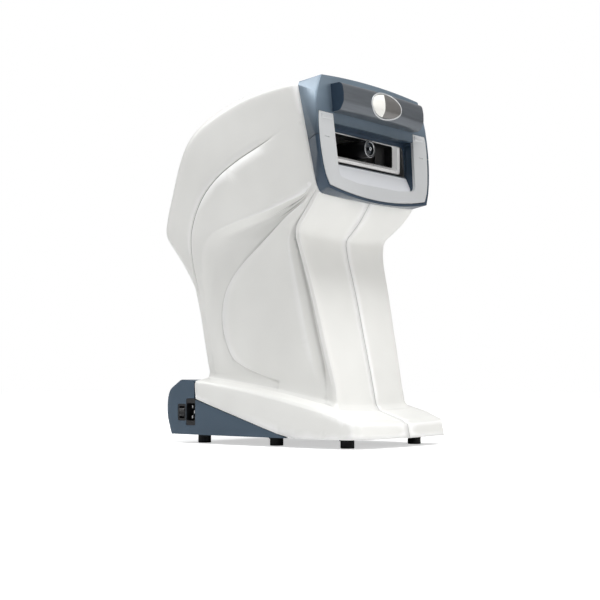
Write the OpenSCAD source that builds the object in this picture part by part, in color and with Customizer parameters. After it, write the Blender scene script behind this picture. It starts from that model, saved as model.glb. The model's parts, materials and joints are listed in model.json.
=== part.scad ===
// Desktop air-puff ophthalmic tonometer, as an assembly of separate pieces.
// X is across the instrument, the patient sits on the -Y side and the operator on the +Y side.
// Z is up from the table, and the origin is under the middle of the instrument.

/* [Body] */
// Overall depth, from the front of the base to the rear of the base
body_depth = 348; // [320:1:380]
// Height of the crown of the head above the table
body_height = 486; // [460:1:520]
// Full width of the half shells across the head, where they meet the bezel
head_width = 224; // [212:1:240]
// Full width of the front of the column where it meets the base
column_width = 154; // [146:1:166]
// Wall of the moulded half shells
shell_wall = 3; // [2.4:0.1:3.6]
// Gap between the two half shells along the centre seam
seam_gap = 0.4; // [0.2:0.1:1]
// Width of the styling groove on each head flank
groove_width = 4; // [3:0.5:6]
// Depth of the styling groove
groove_depth = 2.2; // [1:0.1:2.6]
// Depth of the scoop that undercuts each head flank
scoop_depth = 15; // [8:0.5:18]
// Height of the raised edge of the leaf panel on each column flank
leaf_step = 3; // [1:0.1:4]
// Depth of the valley between the front of the column and the leaf panel
valley_depth = 9; // [4:0.5:11]
// Width of the valley at the foot of the column
valley_width = 24; // [14:1:30]

/* [Base] */
// Height of the rear of the base above the table
base_height = 88; // [84:1:94]
// Greatest width of the base
base_width = 224; // [216:1:240]
// Height of the underside of the housing above the table
floor_gap = 12; // [10:0.5:14]
// Wall of the rear base cover and of its door
cover_wall = 2.5; // [2:0.1:3]
// Thickness of the steel base plate
plate_thickness = 2; // [1.5:0.1:3]
// Diameter of the rubber feet
foot_d = 18; // [14:0.5:22]

/* [Face] */
// Greatest width of the bezel round the face
face_width = 255; // [246:1:264]
// Height of the face between the lower and upper corners of the bezel
face_height = 148; // [140:1:152]
// Lean of the face back from upright, in degrees
face_lean = 5; // [3:0.5:7]
// Width of the bezel's front edge round the face frame
bezel_lip = 3.5; // [3:0.5:5]
// Gap round the face frame and between the two bezels
panel_gap = 0.6; // [0.4:0.1:1]
// Thickness of the face frame
frame_thickness = 4; // [3:0.5:5]
// Width of the opening in the face frame
opening_width = 184; // [176:1:188]
// Depth of the recess between the face frame and the window surround
recess_depth = 15; // [12:0.5:18]
// Width of the forehead rest
forehead_width = 185; // [176:1:194]
// How far the forehead rest stands out from the face
forehead_reach = 23; // [16:0.5:28]
// Width of the oval touch plate on the forehead rest
touch_width = 66; // [50:1:76]
// Height of the oval touch plate
touch_height = 31; // [24:0.5:33]
// Travel of the touch plate
touch_travel = 1.5; // [1:0.1:2.5]

/* [Measuring head] */
// Outside diameter of the lens barrel that carries the air nozzle
barrel_d = 24; // [20:0.5:25]
// Bore of the air nozzle
nozzle_bore = 2.4; // [2:0.1:3]
// Travel of the measuring head to each side
cross_travel = 36; // [25:1:38]
// Travel of the measuring head down from its highest place
lift_travel = 14; // [6:1:14]
// Travel of the measuring head towards the patient and away
reach_travel = 12; // [6:1:13]
// Diameter of the guide rods
rod_d = 8; // [6:0.5:8]
// Diameter of the lead screws
screw_d = 6; // [5:0.5:6]
// Radial clearance of a running fit
running_gap = 0.05; // [0.03:0.01:0.08]
// Stroke of the air pump's piston
pump_stroke = 10; // [6:0.5:11]

/* [Operator side] */
// Width of the display unit
display_width = 160; // [150:1:166]
// Height of the display unit
display_height = 112; // [108:1:116]
// Diameter of the control buttons
button_d = 12; // [9:0.5:13]
// Travel of the control buttons
button_travel = 1.2; // [0.8:0.1:1.4]
// Width of the printer door
door_width = 84; // [76:1:92]
// Diameter of the paper roll
roll_d = 40; // [30:1:42]
// Width of the paper roll
paper_width = 57; // [50:1:58]

/* [Power] */
// Width of the power inlet across the flank
inlet_width = 18.5; // [18:0.1:19]
// Height of the power inlet
inlet_height = 37; // [34:0.5:40]
// Width of the power switch across the flank
switch_width = 16.5; // [15:0.5:17]
// Height of the power switch
switch_height = 23; // [20:0.5:26]

/* [Hidden] */
$fn = 48;
overrun = 1;
seat_gap = 0.3;
side_sides = 32;

// Places are shares: along() runs from the front of the base to its rear, and in up()
// -1 is the underside of the housing, 0 the top of the base and 1 the crown of the head.
function along(share) = body_depth * (share - 0.5);
function up(share) = share < 0
    ? base_height + share * (base_height - floor_gap)
    : base_height + share * (body_height - base_height);
function place(shares) = [along(shares.x), up(shares.y)];
function mix(a, b, t) = a + (b - a) * t;
function eased(t) = let (u = min(1, max(0, t))) u * u * (3 - 2 * u);
function crossed(a, b) = a.x * b.y - a.y * b.x;
function reversed(p) = [for (i = [len(p) - 1 : -1 : 0]) p[i]];
function both_sides(p) = concat(p, [for (q = reversed(p)) if (q.x > 0) [-q.x, q.y]]);

// Smooth curve through points: a cubic whose slopes follow the chords on both sides
function chord(p, i) = norm(p[i + 1] - p[i]);
function slope(p, i) = let (n = len(p) - 1)
    i == 0 ? (p[1] - p[0]) / chord(p, 0)
    : i == n ? (p[n] - p[n - 1]) / chord(p, n - 1)
    : let (a = chord(p, i - 1), b = chord(p, i))
      ((p[i] - p[i - 1]) / a * b + (p[i + 1] - p[i]) / b * a) / (a + b);
function curve(p, t) =
    let (i = min(len(p) - 2, floor(t)), u = t - i, d = chord(p, i), u2 = u * u, u3 = u2 * u)
    (2 * u3 - 3 * u2 + 1) * p[i] + (u3 - 2 * u2 + u) * d * slope(p, i)
    + (3 * u2 - 2 * u3) * p[i + 1] + (u3 - u2) * d * slope(p, i + 1);
function smooth(p, steps) = [for (i = [0 : (len(p) - 1) * steps]) curve(p, i / steps)];

// Outline whose corners [x, y, radius] are rounded
function corner(a, b, c, r, steps) = r == 0 ? [[b.x, b.y]] : let (
        p = [b.x, b.y], u = [a.x, a.y] - p, v = [c.x, c.y] - p,
        un = u / norm(u), vn = v / norm(v),
        half = acos(min(1, max(-1, un * vn))) / 2,
        reach = r / tan(half)
    )
    [for (i = [0 : steps]) let (s = i / steps)
        p + un * reach * (1 - s) * (1 - s) + vn * reach * s * s];
function rounded(p, steps = 4) = let (n = len(p))
    [for (i = [0 : n - 1]) each corner(p[(i + n - 1) % n], p[i], p[(i + 1) % n], p[i].z, steps)];
function frame_between(half, low, high, r) =
    rounded([[-half, low, r], [half, low, r], [half, high, r], [-half, high, r]]);
function rounded_box(w, h, r) = frame_between(w / 2, -h / 2, h / 2, r);

// A rod along X, Y or Z between two places
module rod_x(d, x0, x1, y, z) {
    translate([x0, y, z]) rotate([0, 90, 0]) cylinder(d = d, h = x1 - x0);
}
module rod_y(d, y0, y1, x, z) {
    translate([x, y1, z]) rotate([90, 0, 0]) cylinder(d = d, h = y1 - y0);
}
module rod_z(d, z0, z1, x, y) {
    translate([x, y, z0]) cylinder(d = d, h = z1 - z0);
}
module block(x, y, z) {
    translate([x[0], y[0], z[0]]) cube([x[1] - x[0], y[1] - y[0], z[1] - z[0]]);
}

// The side view of the column and head. Section lines run from a front share to a rear share,
// from the face down to the foot of the column.
front_shares = [
    [0.183, 0.592], [0.208, 0.557], [0.239, 0.523], [0.27, 0.495], [0.288, 0.48], [0.295, 0.467],
    [0.295, 0.451], [0.291, 0.425], [0.279, 0.382], [0.25, 0.289], [0.222, 0.181], [0.19, 0.06],
    [0.167, -0.158]
];
rear_shares = [
    [0.285, 0.987], [0.549, 0.975], [0.733, 0.933], [0.873, 0.857], [0.937, 0.751], [0.968, 0.648],
    [0.995, 0.54], [0.99, 0.503], [0.945, 0.447], [0.859, 0.327], [0.825, 0.206], [0.812, 0.101],
    [0.804, 0.025]
];
// Side view of the lines that the features of each flank follow
leaf_shares = [
    [0.17, 0.603], [0.209, 0.59], [0.342, 0.526], [0.486, 0.447], [0.592, 0.385], [0.67, 0.315],
    [0.699, 0.253], [0.698, 0.144], [0.663, 0.07], [0.568, 0.023], [0.426, -0.051], [0.266, -0.301]
];
edge_shares = [
    [0.17, 0.613], [0.434, 0.556], [0.612, 0.524], [0.707, 0.501], [0.759, 0.455], [0.779, 0.394],
    [0.779, 0.29], [0.776, 0.193], [0.773, 0.106], [0.764, -0.105]
];
groove_shares = [
    [0.204, 0.887], [0.256, 0.864], [0.328, 0.831], [0.441, 0.788], [0.587, 0.737], [0.707, 0.676],
    [0.773, 0.615], [0.814, 0.538], [0.83, 0.42], [0.803, 0.295], [0.79, 0.193], [0.784, 0.106],
    [0.773, -0.105]
];
// Share of the way along the line from a to b at which it crosses an outline
function crossing(a, b, p, i = 0) = let (d = b - a)
    i > len(p) - 2 ? 1
    : let (m = crossed(d, p[i] - a), n = crossed(d, p[i + 1] - a))
      m * n <= 0 && m != n
        ? (mix(p[i], p[i + 1], m / (m - n)) - a) * d / (d * d)
        : crossing(a, b, p, i + 1);

front_line = [for (s = front_shares) place(s)];
rear_line = [for (s = rear_shares) place(s)];
trace_steps = 4;
leaf_line = smooth([for (s = leaf_shares) place(s)], trace_steps);
edge_line = smooth([for (s = edge_shares) place(s)], trace_steps);
groove_line = smooth([for (s = groove_shares) place(s)], trace_steps);
last = len(front_shares) - 1;
neck = 6;

// Roundings of the shells' section: front corner, top corners at the bezel, over the head and behind
front_round = 7;
bezel_round = 9;
top_round = 22;
rear_round = 15;
// Bow of the column's front, crown of the top, and lift of the neck crease towards the flanks
front_bow = 3;
top_crown = 5;
crease_lift = 4.5;
// Swell of the head behind the bezel, and extra width of the column behind its front
head_swell = 4;
column_swell = 8;
// Narrowest valley and spaces that keep the flank's features apart near the face
valley_start = 1.5;
leaf_space = 4.5;
edge_space = 6;
groove_space = 5;
ridge_width = 2;

// Half section: [distance along the section line, half width] at each station of the outline.
// inset is 0 for the outer surface and the wall for the inner one.
function shell_section(t, inset) = let (
        f = curve(front_line, t), r = curve(rear_line, t),
        reach = norm(r - f), span = reach - 2 * inset,
        bend = eased(t / neck), down = max(0, (t - neck) / (last - neck)),
        amount = eased(t / 3), foot = 1 - 0.7 * eased((t - last + 0.8) / 0.8),
        fall = max(0, (up(0.49) - (f.y + r.y) / 2) / up(0.49)),
        wide = head_width + head_swell,
        narrow = column_width + column_swell,
        w = mix(wide - head_swell * (1 - amount), wide - 1.42 * (wide - narrow), pow(fall, 1.15)) / 2
            - inset,
        wc = mix(head_width / 2 - ridge_width, column_width / 2, min(1, 0.4 * bend + 0.6 * down)) - inset,
        rc = front_round - inset / 2,
        rt = mix(mix(bezel_round, top_round, eased(t / 2)), rear_round, eased((t - 4) / 3)) - inset,
        valley = valley_depth * amount * foot,
        step = inset > 0 ? 0 : leaf_step * amount * foot,
        recess = scoop_depth * amount * eased((last - 1.2 - t) / 3),
        tuck = groove_depth * eased((t - 0.6) / 1.2) * eased((last - 2 - t) / 2),
        wl = mix(wc, w - recess / 2, 0.6),
        front_end = front_bow + rc,
        valley_end = front_end + mix(valley_start, valley_width, eased((t - 1) / (last - 1))),
        valley_span = valley_end - front_end,
        leaf = max(valley_end + leaf_space, crossing(f, r, leaf_line) * reach - inset),
        edge = max(leaf + edge_space, crossing(f, r, edge_line) * reach - inset),
        groove = max(edge + groove_space, crossing(f, r, groove_line) * reach - inset),
        top = max(groove + groove_space, span - rt - top_crown / 2),
        scoop = edge - leaf - ridge_width
    )
    [
        [0, 0], [front_bow * 0.2, wc * 0.45], [front_bow * 0.72, mix(rc * 0.3, wc - rc * 0.7, 0.85)],
        [front_bow, wc - rc], [front_bow + rc * 0.3, wc - rc * 0.3], [front_end, wc],
        [front_end + valley_span * 0.2, wc - valley * 0.6], [front_end + valley_span / 2, wc - valley],
        [valley_end, mix(wc - valley, wl, 0.7)], [mix(valley_end, leaf, 0.3), mix(wc - valley, wl, 0.95)],
        [mix(valley_end, leaf, 0.65), wl + step * 0.2], [leaf, wl + step], [leaf + ridge_width, wl],
        [edge - scoop * 0.62, mix(wl, w - recess, 0.75)], [edge - scoop * 0.3, w - recess * 0.85],
        [edge - scoop * 0.1, w - recess * 0.42], [edge, w - groove_depth * amount / 4],
        [mix(edge, groove, 0.3), w], [groove - groove_width / 2, w], [groove, w - tuck],
        [groove + groove_width / 2, w], [mix(groove, top, 0.6), w], [top, w],
        [span - rt * 0.62 - top_crown * 0.6, w - rt * 0.1],
        [span - rt * 0.25 - top_crown * 0.6, w - rt * 0.38], [span - top_crown * 0.62, w - rt],
        [span - top_crown / 4, (w - rt) * 0.66], [span - top_crown * 0.06, (w - rt) * 0.33], [span, 0]
    ];
function shell_ring(t, inset) = let (
        f = curve(front_line, t), r = curve(rear_line, t), d = (r - f) / norm(r - f),
        start = f + d * inset,
        lift = crease_lift * eased(t / 4) * eased((last - 1 - t) / 4)
    )
    [for (q = shell_section(t, inset)) let (
            p = start + d * q.x, out = q.y / (head_width / 2),
            near = eased((valley_width * 2.5 - q.x) / (valley_width * 2))
        )
        [-q.y, p.x, p.y + lift * 1.3 * out * out * near]];

// Plan and edges of the base
base_widest = 0.29;
base_taper = 0.2;
skirt_tip = 0.325;
skirt_rear = 0.812;
skirt_rise = 0.645;
base_bow = 11;
base_corner = 16;
skirt_batter = 9;
skirt_draft = 4;
rear_corner = 4;
rear_reach = 4;
function base_half(y) = let (s = y / body_depth + 0.5 - base_widest)
    base_width / 2 * (1 - base_taper * s * s);
function shoulder_z(y) = let (u = (along(0.813) - y) / (body_depth * 0.752))
    up(-0.026 - 0.29 * u - 0.37 * u * u);
function skirt_z(y) = let (a = along(skirt_tip), b = along(skirt_rear))
    up(y > a ? skirt_rise * (y - a) / (b - a) - 1 : -1);
// A ring of the base: pull is how far the shoulder lies inside the skirt's edge
function base_ring(is_shoulder, foot, inset) = let (
        draft = is_shoulder ? skirt_draft : 0,
        y0 = along(0) + (is_shoulder ? skirt_batter : 0) + inset,
        front_half = base_half(along(0.04)) - draft - inset,
        rear_half = base_half(along(skirt_rear + 0.01)) - draft - inset,
        side_start = y0 + base_bow + base_corner, side_end = along(skirt_rear),
        rear_y = side_end + rear_reach - inset
    )
    [for (j = [0 : len(foot) - 1]) let (
            k = j - 22,
            x = j == 0 ? 0 : j == 1 ? front_half * 0.45 : j == 2 ? front_half * 0.8
                : j == 3 ? front_half - base_corner : j == 4 ? front_half - base_corner * 0.3
                : j == 5 ? front_half
                : j <= 22 ? 0
                : j <= 25 ? rear_half - rear_corner * [0, 0.1, 0.4, 1][k]
                : (rear_half - rear_corner) * [0.66, 0.33, 0][k - 4],
            y = j <= 5
                ? y0 + base_bow * pow(x / front_half, 2) + base_corner * [0, 0, 0, 0, 0.3, 1][j]
                : j <= 22 ? mix(side_start, side_end, (foot[j].y - foot[5].y) / (foot[22].y - foot[5].y))
                : j <= 25 ? side_end + (rear_reach - inset) * [0, 0.53, 0.87, 1][k]
                : rear_y,
            z = is_shoulder ? shoulder_z(y) - inset
                : j <= 22 ? skirt_z(y)
                : mix(skirt_z(side_end), shoulder_z(rear_y) - ridge_width, [0, 0.55, 0.9, 1, 1, 1, 1][k])
        )
        [j > 5 && j <= 22 ? draft + inset - base_half(y) : -x, y, z]];
function blend(a, b, flat, rise) =
    [for (i = [0 : len(a) - 1])
        [mix(a[i].x, b[i].x, flat), mix(a[i].y, b[i].y, flat), mix(a[i].z, b[i].z, rise)]];
function shell_rings(inset) = let (
        upper = [for (t = ring_places) shell_ring(t, inset)],
        foot = upper[len(upper) - 1],
        shoulder = base_ring(true, foot, inset), skirt = base_ring(false, foot, inset)
    )
    concat(upper, [
        for (s = foot_shares) blend(foot, shoulder, s.x, s.y)],
        [shoulder, blend(shoulder, skirt, 0.6, 0.1), skirt]);
// Course of the rings from the foot of the column (0, 0) to the shoulder of the base (1, 1)
foot_shares = [[0.08, 0.48], [0.2, 0.66], [0.5, 0.78], [0.93, 0.93]];
ring_places = concat([for (i = [0 : 2 * last - 3]) i / 2], [for (i = [-3 : 0]) last + i / 3]);

// The half shell is one closed surface: the outer skin, the inner skin on fewer stations, and rims
inner_stations = [0, 1, 3, 5, 7, 9, 11, 13, 15, 16, 19, 21, 22, 24, 25, 27, 28];
function seam_cut(p) = [min(p.x, -seam_gap / 2), p.y, p.z];
module half_shell() {
    outer = shell_rings(0);
    inner_full = shell_rings(shell_wall);
    inner = [for (r = inner_full) [for (j = inner_stations) r[j]]];
    rings = len(outer);
    m = len(outer[0]);
    n = len(inner_stations);
    first = rings * m;
    points = [for (r = outer) each [for (p = r) seam_cut(p)], for (r = inner) each [for (p = r) seam_cut(p)]];
    skin = [for (i = [0 : rings - 2], j = [0 : m - 2]) let (a = i * m + j)
        each [[a, a + m + 1, a + 1], [a, a + m, a + m + 1]]];
    lining = [for (i = [0 : rings - 2], j = [0 : n - 2]) let (a = first + i * n + j)
        each [[a, a + 1, a + n + 1], [a, a + n + 1, a + n]]];
    seams = [for (i = [0 : rings - 2], s = [0, 1]) let (
            o = i * m + s * (m - 1), q = first + i * n + s * (n - 1),
            a = [o, o + m, q + n], b = [o, q + n, q]
        )
        each (s == 1 ? [a, b] : [reversed(a), reversed(b)])];
    // Each outer station joins the last inner station that is not past it
    joins = [for (j = [0 : m - 1]) max([for (k = [0 : n - 1]) if (inner_stations[k] <= j) k])];
    rims = [for (i = [0, rings - 1], j = [0 : m - 2]) let (
            o = i * m + j, q = first + i * n + joins[j],
            a = [o + 1, o, q], b = [o + 1, q, q + 1],
            strip = joins[j + 1] > joins[j] ? [a, b] : [a]
        )
        each (i > 0 ? strip : [for (f = strip) reversed(f)])];
    polyhedron(points, concat(skin, lining, seams, rims), convexity = 10);
}
module left_shell() {
    color("whitesmoke") display_cut() half_shell();
}
module right_shell() {
    color("whitesmoke") display_cut() mirror([1, 0, 0]) half_shell();
}

// Display unit on the rear of the head, in its own plane: x to the operator's right, y up the slope
display_lean = atan2(
    rear_line[6].x - rear_line[3].x, rear_line[3].y - rear_line[6].y);
display_mid = (rear_line[3] + rear_line[6]) / 2;
display_depth = 12;
display_proud = 2;
display_round = 8;
module on_display() {
    translate([0, display_mid.x, display_mid.y]) rotate([display_lean, 0, 0]) rotate([90, 0, 180]) children();
}
module plate(w, h, r, z0, z1) {
    translate([0, 0, z0]) linear_extrude(z1 - z0) polygon(rounded_box(w, h, r));
}
module display_cut() {
    difference() {
        children();
        on_display() plate(display_width + 2 * seat_gap, display_height + 2 * seat_gap, display_round,
            -display_depth * 2, display_depth);
    }
}
screen_width = display_width * 0.76;
screen_height = display_height * 0.64;
screen_y = display_height * 0.13;
screen_ledge = 4;
face_wall = 3;
glass = 1.6;
side_wall = 3;
button_y = -display_height * 0.36;
button_pitch = display_width * 0.165;
button_count = 5;
cap_proud = 2.4;
flange_thickness = 1.4;
function button_x(i) = (i - (button_count + 1) / 2) * button_pitch;
flange_top = display_proud - face_wall - seat_gap;
flange_low = flange_top - flange_thickness;
module display_bezel() {
    color("darkslategray") on_display() difference() {
        plate(display_width, display_height, display_round, display_proud - display_depth, display_proud);
        plate(display_width - 2 * side_wall, display_height - 2 * side_wall, display_round - side_wall,
            display_proud - display_depth - overrun, display_proud - face_wall);
        translate([0, screen_y]) plate(screen_width, screen_height, face_wall,
            display_proud - glass, display_proud + overrun);
        translate([0, screen_y]) plate(screen_width - 2 * screen_ledge, screen_height - 2 * screen_ledge,
            face_wall, display_proud - face_wall - overrun, display_proud);
        for (i = [1 : button_count])
            rod_z(button_d + 2 * seat_gap, display_proud - face_wall - overrun, display_proud + overrun,
                button_x(i), button_y);
    }
}
module display_window() {
    color("black") on_display() translate([0, screen_y]) plate(screen_width - seat_gap,
        screen_height - seat_gap, face_wall, display_proud - glass, display_proud - seat_gap / 3);
}
module_depth = 7;
module display_module() {
    color("dimgray") on_display() translate([0, screen_y]) {
        plate(screen_width - screen_ledge, screen_height - screen_ledge, overrun,
            display_proud - face_wall - module_depth, display_proud - face_wall);
    }
}
board_thickness = 1.6;
boss_low = flange_low - button_travel - seat_gap - overrun;
module keypad_board() {
    color("darkgreen") on_display() {
        translate([0, button_y]) plate(display_width - 2 * side_wall - overrun, button_d + screen_ledge,
            overrun, boss_low - board_thickness, boss_low);
        for (i = [1 : button_count])
            rod_z(button_d / 3, boss_low, boss_low + overrun, button_x(i), button_y);
        for (s = [-1, 1])
            rod_z(screen_ledge, boss_low, display_proud - face_wall,
                s * (display_width / 2 - side_wall - screen_ledge), button_y);
    }
}
module control_button(i) {
    color("lightsteelblue") on_display() {
        rod_z(button_d, flange_top, display_proud + cap_proud, button_x(i), button_y);
        rod_z(button_d + 2 * flange_thickness, flange_low, flange_top, button_x(i), button_y);
    }
}
module control_button_1() { control_button(1); }
module control_button_2() { control_button(2); }
module control_button_3() { control_button(3); }
module control_button_4() { control_button(4); }
module control_button_5() { control_button(5); }

// Rear base cover: side profile, cut by the plan of the base
cover_gap = 0.6;
cover_round = 10;
cover_heel = 0.957;
cover_shoulder = -0.3;
// Rear of the cover's side view: place shares and the corner's radius in cover_round
cover_shares = [[0.9, 0, 1.4], [0.97, -0.19, 2], [1, -0.52, 2.2]];
cover_corner = 14;
flush_step = 1.2;
cover_front = along(skirt_rear) + rear_reach + cover_gap;
function cover_profile(inset) = rounded(concat(
    [[along(skirt_tip) + cover_gap * 4 + inset, floor_gap - (inset > 0 ? overrun : 0), 0],
     [cover_front - cover_gap, skirt_z(along(skirt_rear)) - cover_gap - inset, 0],
     [cover_front - (inset > 0 ? overrun : 0), skirt_z(along(skirt_rear)) - inset + cover_gap * 2, 0],
     [cover_front - (inset > 0 ? overrun : 0), up(-0.03) - inset, 0]],
    [for (s = cover_shares)
        [along(s.x) - inset, up(s.y) - (s.y > cover_shoulder ? inset : 0), s.z * cover_round]],
    [[along(cover_heel) - inset, floor_gap - (inset > 0 ? overrun : 0), 0]]));
plan_steps = 10;
function cover_plan(inset) = let (
        a = along(skirt_tip) - overrun - (inset > 0 ? overrun : 0), b = along(1) + overrun - inset,
        side = [for (i = [0 : plan_steps]) let (y = mix(a, b, i / plan_steps))
            [base_half(y) - flush_step - inset, y, 0]]
    )
    rounded(concat([for (i = [0 : plan_steps - 1]) side[i]],
        [[side[plan_steps].x, b, cover_corner], [-side[plan_steps].x, b, cover_corner]],
        [for (i = [plan_steps - 1 : -1 : 0]) [-side[i].x, side[i].y, 0]]));
module cover_solid(inset) {
    intersection() {
        rotate([90, 0, 90]) translate([0, 0, -base_width / 2]) linear_extrude(base_width)
            polygon(cover_profile(inset));
        translate([0, 0, -overrun * 2]) linear_extrude(base_height + overrun * 4) polygon(cover_plan(inset));
    }
}
module cover_skin() {
    difference() {
        cover_solid(0);
        cover_solid(cover_wall);
        intersection() {
            linear_extrude(base_height) polygon(cover_plan(cover_wall));
            block([-base_width, base_width], [-body_depth, cover_front], [0, base_height]);
        }
    }
}
door_axis = [along(0.958), up(-0.88)];
hinge_space = 1.6;
door_barrel = 5.6;
door_pin = 2.4;
door_top = along(0.905);
pin_block = 5;
inlet_place = [along(0.845), up(-0.59)];
switch_place = [along(0.897), up(-0.6)];
flank_turn = atan2(base_half(inlet_place.x) - base_half(switch_place.x), switch_place.x - inlet_place.x);
// On the left flank: x runs forward along it, y up, z out of the flank
module on_flank(p) {
    translate([flush_step - base_half(p.x), p.x, p.y]) rotate([0, 0, -flank_turn]) rotate([90, 0, -90])
        children();
}
module rear_base_cover() {
    color("slategray") {
        difference() {
            cover_skin();
            block([-door_width / 2 - seat_gap, door_width / 2 + seat_gap],
                [door_top - overrun, along(1) + overrun], [door_axis.y, base_height + overrun]);
            rod_x(door_barrel + 2 * hinge_space, -door_width / 2 - seat_gap, door_width / 2 + seat_gap,
                door_axis.x, door_axis.y);
            on_flank(inlet_place) plate(inlet_width + seat_gap, inlet_height + seat_gap, module_round,
                -cover_wall * 3, cover_wall);
            on_flank(switch_place) plate(switch_width + seat_gap, switch_height + seat_gap, module_round,
                -cover_wall * 3, cover_wall);
        }
        for (s = [-1, 1]) {
            x0 = s * (door_width / 2 + seat_gap);
            x1 = s * (door_width / 2 + seat_gap + pin_block);
            intersection() {
                cover_solid(cover_wall / 2);
                block([min(x0, x1), max(x0, x1)], [door_axis.x - door_barrel / 2, door_axis.x + door_barrel],
                    [door_axis.y - door_barrel / 2, door_axis.y + door_barrel / 2]);
            }
            x2 = s * (door_width / 2 - pin_block);
            rod_x(door_pin, min(x1, x2), max(x1, x2), door_axis.x, door_axis.y);
        }
    }
}
arm_gap = 1.2;
platen_d = 10;
platen_axis = [along(0.9195), up(-0.2)];
arm_thickness = 3;
arm_root = [0.965, -0.32];
arm_x = paper_width / 2 + arm_gap + overrun;
axle_d = 4;
module printer_door() {
    color("slategray") difference() {
        union() {
            intersection() {
                cover_skin();
                block([-door_width / 2, door_width / 2], [door_top, along(1) + overrun],
                    [door_axis.y, base_height + overrun]);
            }
            rod_x(door_barrel, -door_width / 2, door_width / 2, door_axis.x, door_axis.y);
            for (s = [-1, 1]) {
                x0 = s * arm_x;
                x1 = s * (arm_x + arm_thickness);
                intersection() {
                    cover_solid(cover_wall - seat_gap);
                    hull() {
                        rod_x(platen_d * 0.8, min(x0, x1), max(x0, x1), platen_axis.x, platen_axis.y);
                        rod_x(platen_d * 0.8, min(x0, x1), max(x0, x1), along(arm_root.x), up(arm_root.y));
                    }
                }
            }
        }
        rod_x(door_pin + 2 * running_gap, -door_width, door_width, door_axis.x, door_axis.y);
        rod_x(axle_d + 2 * running_gap, -door_width, door_width, platen_axis.x, platen_axis.y);
    }
}
module platen_roller() {
    color("dimgray") {
        rod_x(platen_d, -arm_x + arm_gap, arm_x - arm_gap, platen_axis.x, platen_axis.y);
        rod_x(axle_d, -arm_x - arm_thickness, arm_x + arm_thickness, platen_axis.x, platen_axis.y);
    }
}
roll_axis = [along(0.85), up(-0.52)];
core_d = 12;
cheek_gap = 1;
cheek_thickness = 3;
cheek_x = paper_width / 2 + cheek_gap;
module paper_roll() {
    color("white") difference() {
        rod_x(roll_d, -paper_width / 2, paper_width / 2, roll_axis.x, roll_axis.y);
        rod_x(core_d, -paper_width, paper_width, roll_axis.x, roll_axis.y);
    }
}
frame_low = floor_gap + overrun + plate_thickness;
module printer_frame() {
    color("gray") {
        for (s = [-1, 1]) {
            x0 = s * cheek_x;
            x1 = s * (cheek_x + cheek_thickness);
            block([min(x0, x1), max(x0, x1)], [roll_axis.x - roll_d * 0.45, roll_axis.x + roll_d * 0.3],
                [frame_low, roll_axis.y + core_d]);
            block([min(x0, x1), max(x0, x1)], [head_front - head_thick, head_front - overrun],
                [frame_low, platen_axis.y + platen_d * 0.3]);
            rod_x(core_d - 2 * running_gap, min(x1, s * (cheek_x - cheek_gap - core_d / 2)),
                max(x1, s * (cheek_x - cheek_gap - core_d / 2)), roll_axis.x, roll_axis.y);
        }
        block([-cheek_x - cheek_thickness, cheek_x + cheek_thickness],
            [roll_axis.x - roll_d * 0.45, roll_axis.x + roll_d * 0.3],
            [frame_low, frame_low + cheek_thickness]);
        block([-cheek_x, cheek_x], [head_front - head_thick, head_front - head_thick + cheek_thickness],
            [platen_axis.y - platen_d * 0.6, platen_axis.y + platen_d * 0.3]);
    }
}
head_front = platen_axis.x - platen_d / 2 - seat_gap;
head_thick = 8;
module print_head() {
    color("silver") block([-cheek_x + overrun, cheek_x - overrun],
        [head_front - head_thick + cheek_thickness, head_front],
        [platen_axis.y - platen_d * 0.6, platen_axis.y + platen_d * 0.3]);
}

// Power inlet and switch in the left flank of the rear base cover
socket_width = 16.6;
socket_height = 24;
socket_depth = 15;
module_back = 20;
module_round = 2;
pin_width = 4;
pin_thickness = 2;
pin_pitch = 7;
earth_offset = 4;
module power_inlet() {
    color("black") on_flank(inlet_place) difference() {
        plate(inlet_width, inlet_height, module_round, -module_back, -seat_gap);
        plate(socket_width, socket_height, module_round, -socket_depth, overrun);
    }
}
module inlet_pins() {
    color("silver") on_flank(inlet_place) for (i = [-1, 0, 1])
        translate([i == 0 ? earth_offset : 0, i * pin_pitch])
            plate(pin_thickness, pin_width, 0, -socket_depth, -socket_depth / 4);
}
rocker_wall = 3;
rocker_swing = 7;
rocker_r = 7;
rocker_pin = 2;
module switch_housing() {
    color("black") on_flank(switch_place) {
        difference() {
            plate(switch_width, switch_height, module_round, -module_back, -seat_gap);
            plate(switch_width - 2 * rocker_wall, switch_height - 2 * rocker_wall, module_round / 2,
                -module_back + rocker_wall, overrun);
            rod_x(rocker_pin + 2 * running_gap, -switch_width / 2 + overrun, switch_width / 2 - overrun,
                0, -rocker_r * 0.75);
        }
    }
}
module power_rocker() {
    color("dimgray") on_flank(switch_place) {
        difference() {
            rod_x(rocker_r * 2, -switch_width / 2 + rocker_wall + seat_gap,
                switch_width / 2 - rocker_wall - seat_gap, 0, -rocker_r * 0.75);
            rod_x(rocker_r * 2, -switch_width, switch_width, 0, rocker_r * 0.95);
        }
        rod_x(rocker_pin, -switch_width / 2 + rocker_wall * 0.5, switch_width / 2 - rocker_wall * 0.5,
            0, -rocker_r * 0.75);
    }
}

// The face leans back. On it x runs across, y up the face from the bezel's lower corners, z outward.
face_place = [along(0.1326), up(0.613)];
module on_face() {
    translate([0, face_place.x, face_place.y]) rotate([90 - face_lean, 0, 0]) children();
}
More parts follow.
